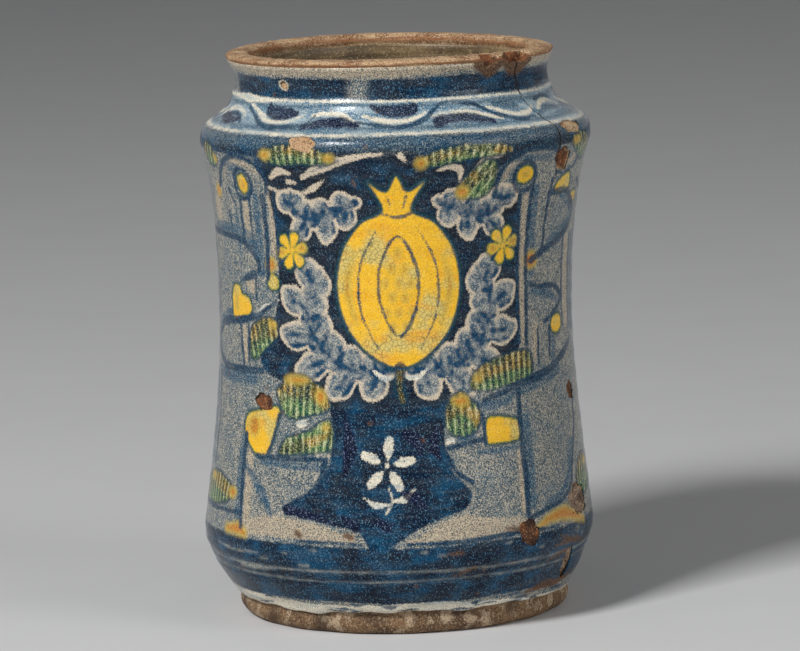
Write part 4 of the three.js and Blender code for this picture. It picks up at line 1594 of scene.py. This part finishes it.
def build_lining():
    """The lining inside: up its back from the middle of the floor, and down its front, with rings"""
    back = LINING.marks[::-1][:: int(LINING_ROW / Outline.STEP)]
    back = np.append(back[back > 0], 0.0)
    front = np.append(np.arange(0, LINING.length, LINING_ROW / 2), LINING.length)
    in_front = np.concatenate([np.zeros(len(back)), np.ones(len(front))])[:, None]
    bearing, mark = np.meshgrid(bearings(LINING_COLUMNS), np.concatenate([back, front]))
    rings = 0.16 * np.sin(mark * 1.25 + 1.5 * np.sin(bearing)) + 0.1 * np.sin(mark * 0.47 + bearing)
    out = (in_front - 1) * INSIDE_GLAZE + rings * in_front * ramp(mark, 0, 4)
    radius, height = LINING.at(mark, out)
    radius = np.where(mark >= LINING.length - 1e-6, 0, np.maximum(radius, 0))
    points = place(radius, height, bearing)
    points[0], points[-1] = points[0].mean(0), points[-1].mean(0)
    around = bearing * PAINT_RADIUS
    # Patches that grow darker towards the floor inside the jar
    darker_towards_floor = np.clip(0.4 * ripple(around, height, 26, 21) + 0.4 - height / 120, 0, 0.75)
    piece = build_lathe("lining_glaze_coat", points, {"darker_towards_floor": darker_towards_floor})
    piece.data.materials.append(lining_finish())
    return piece


def dress():
    """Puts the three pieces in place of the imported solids"""
    random = np.random.default_rng(RANDOM_SEED)
    for piece, node, slot in (
        (build_body(), "earthenware_body", "earthenware"),
        (build_coat(random), "outer_glaze", "painted_glaze"),
        (build_lining(), "inner_glaze", "lining_glaze"),
    ):
        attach(piece, "root")
        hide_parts(node)


# The stage

def add_floor():
    """A plain pale floor"""
    corners = FLOOR_REACH * np.array([(-1, -1, 0), (1, -1, 0), (1, 1, 0), (-1, 1, 0)])
    floor = mesh_object("floor", corners, [(0, 1, 2, 3)], {})
    f = Finish("pale_floor")
    colour = f.over((214, 214, 214), (208, 208, 209), f.noise(60))
    floor.data.materials.append(f.finished(colour, 0.7, specular=0.2))


def add_lamp(name, spot, size, power):
    """A square soft lamp that faces the jar"""
    data = bpy.data.lights.new(name, "AREA")
    data.size = size
    data.energy = power
    lamp = bpy.data.objects.new(name, data)
    lamp.location = spot
    lamp.rotation_euler = (Vector(LAMP_AIM) - Vector(spot)).to_track_quat("-Z", "Y").to_euler()
    bpy.context.scene.collection.objects.link(lamp)


def add_world():
    """Soft light from all round. The camera and reflections see a plain grey backdrop in its place."""
    world = bpy.data.worlds.new("studio")
    bpy.context.scene.world = world
    world.use_nodes = True
    nodes, links = world.node_tree.nodes, world.node_tree.links
    light = nodes["Background"]
    light.inputs["Color"].default_value = tone(245, 247, 250)
    light.inputs["Strength"].default_value = WORLD_STRENGTH
    seen = nodes.new("ShaderNodeBackground")
    seen.inputs["Color"].default_value = tone(168, 168, 168)
    path = nodes.new("ShaderNodeLightPath")
    shown = path.outputs["Is Camera Ray"]
    for ray in ("Is Glossy Ray", "Is Transmission Ray"):
        either = nodes.new("ShaderNodeMath")
        either.operation = "MAXIMUM"
        links.new(shown, either.inputs[0])
        links.new(path.outputs[ray], either.inputs[1])
        shown = either.outputs[0]
    mix = nodes.new("ShaderNodeMixShader")
    links.new(shown, mix.inputs[0])
    links.new(light.outputs[0], mix.inputs[1])
    links.new(seen.outputs[0], mix.inputs[2])
    links.new(mix.outputs[0], nodes["World Output"].inputs["Surface"])


def add_camera():
    """The photograph's camera"""
    data = bpy.data.cameras.new("camera")
    data.sensor_width = SENSOR_WIDTH
    data.lens = FOCAL_PIXELS / IMAGE_WIDTH * SENSOR_WIDTH
    data.shift_x = (IMAGE_WIDTH / 2 - AXIS_PIXEL[0]) / IMAGE_WIDTH
    data.shift_y = (AXIS_PIXEL[1] - IMAGE_HEIGHT / 2) / IMAGE_WIDTH
    camera = bpy.data.objects.new("camera", data)
    pitch = Matrix.Rotation(math.radians(90 - CAMERA_PITCH), 4, "X")
    roll = Matrix.Rotation(math.radians(-CAMERA_ROLL), 4, "Z")
    camera.matrix_world = Matrix.Translation(CAMERA_PLACE) @ pitch @ roll
    bpy.context.scene.collection.objects.link(camera)
    bpy.context.scene.camera = camera


dress()
add_floor()
add_world()
add_lamp("key", *KEY_LAMP)
add_lamp("fill", *FILL_LAMP)
add_camera()
bpy.context.scene.view_settings.view_transform = "Standard"

bpy.context.view_layer.update()
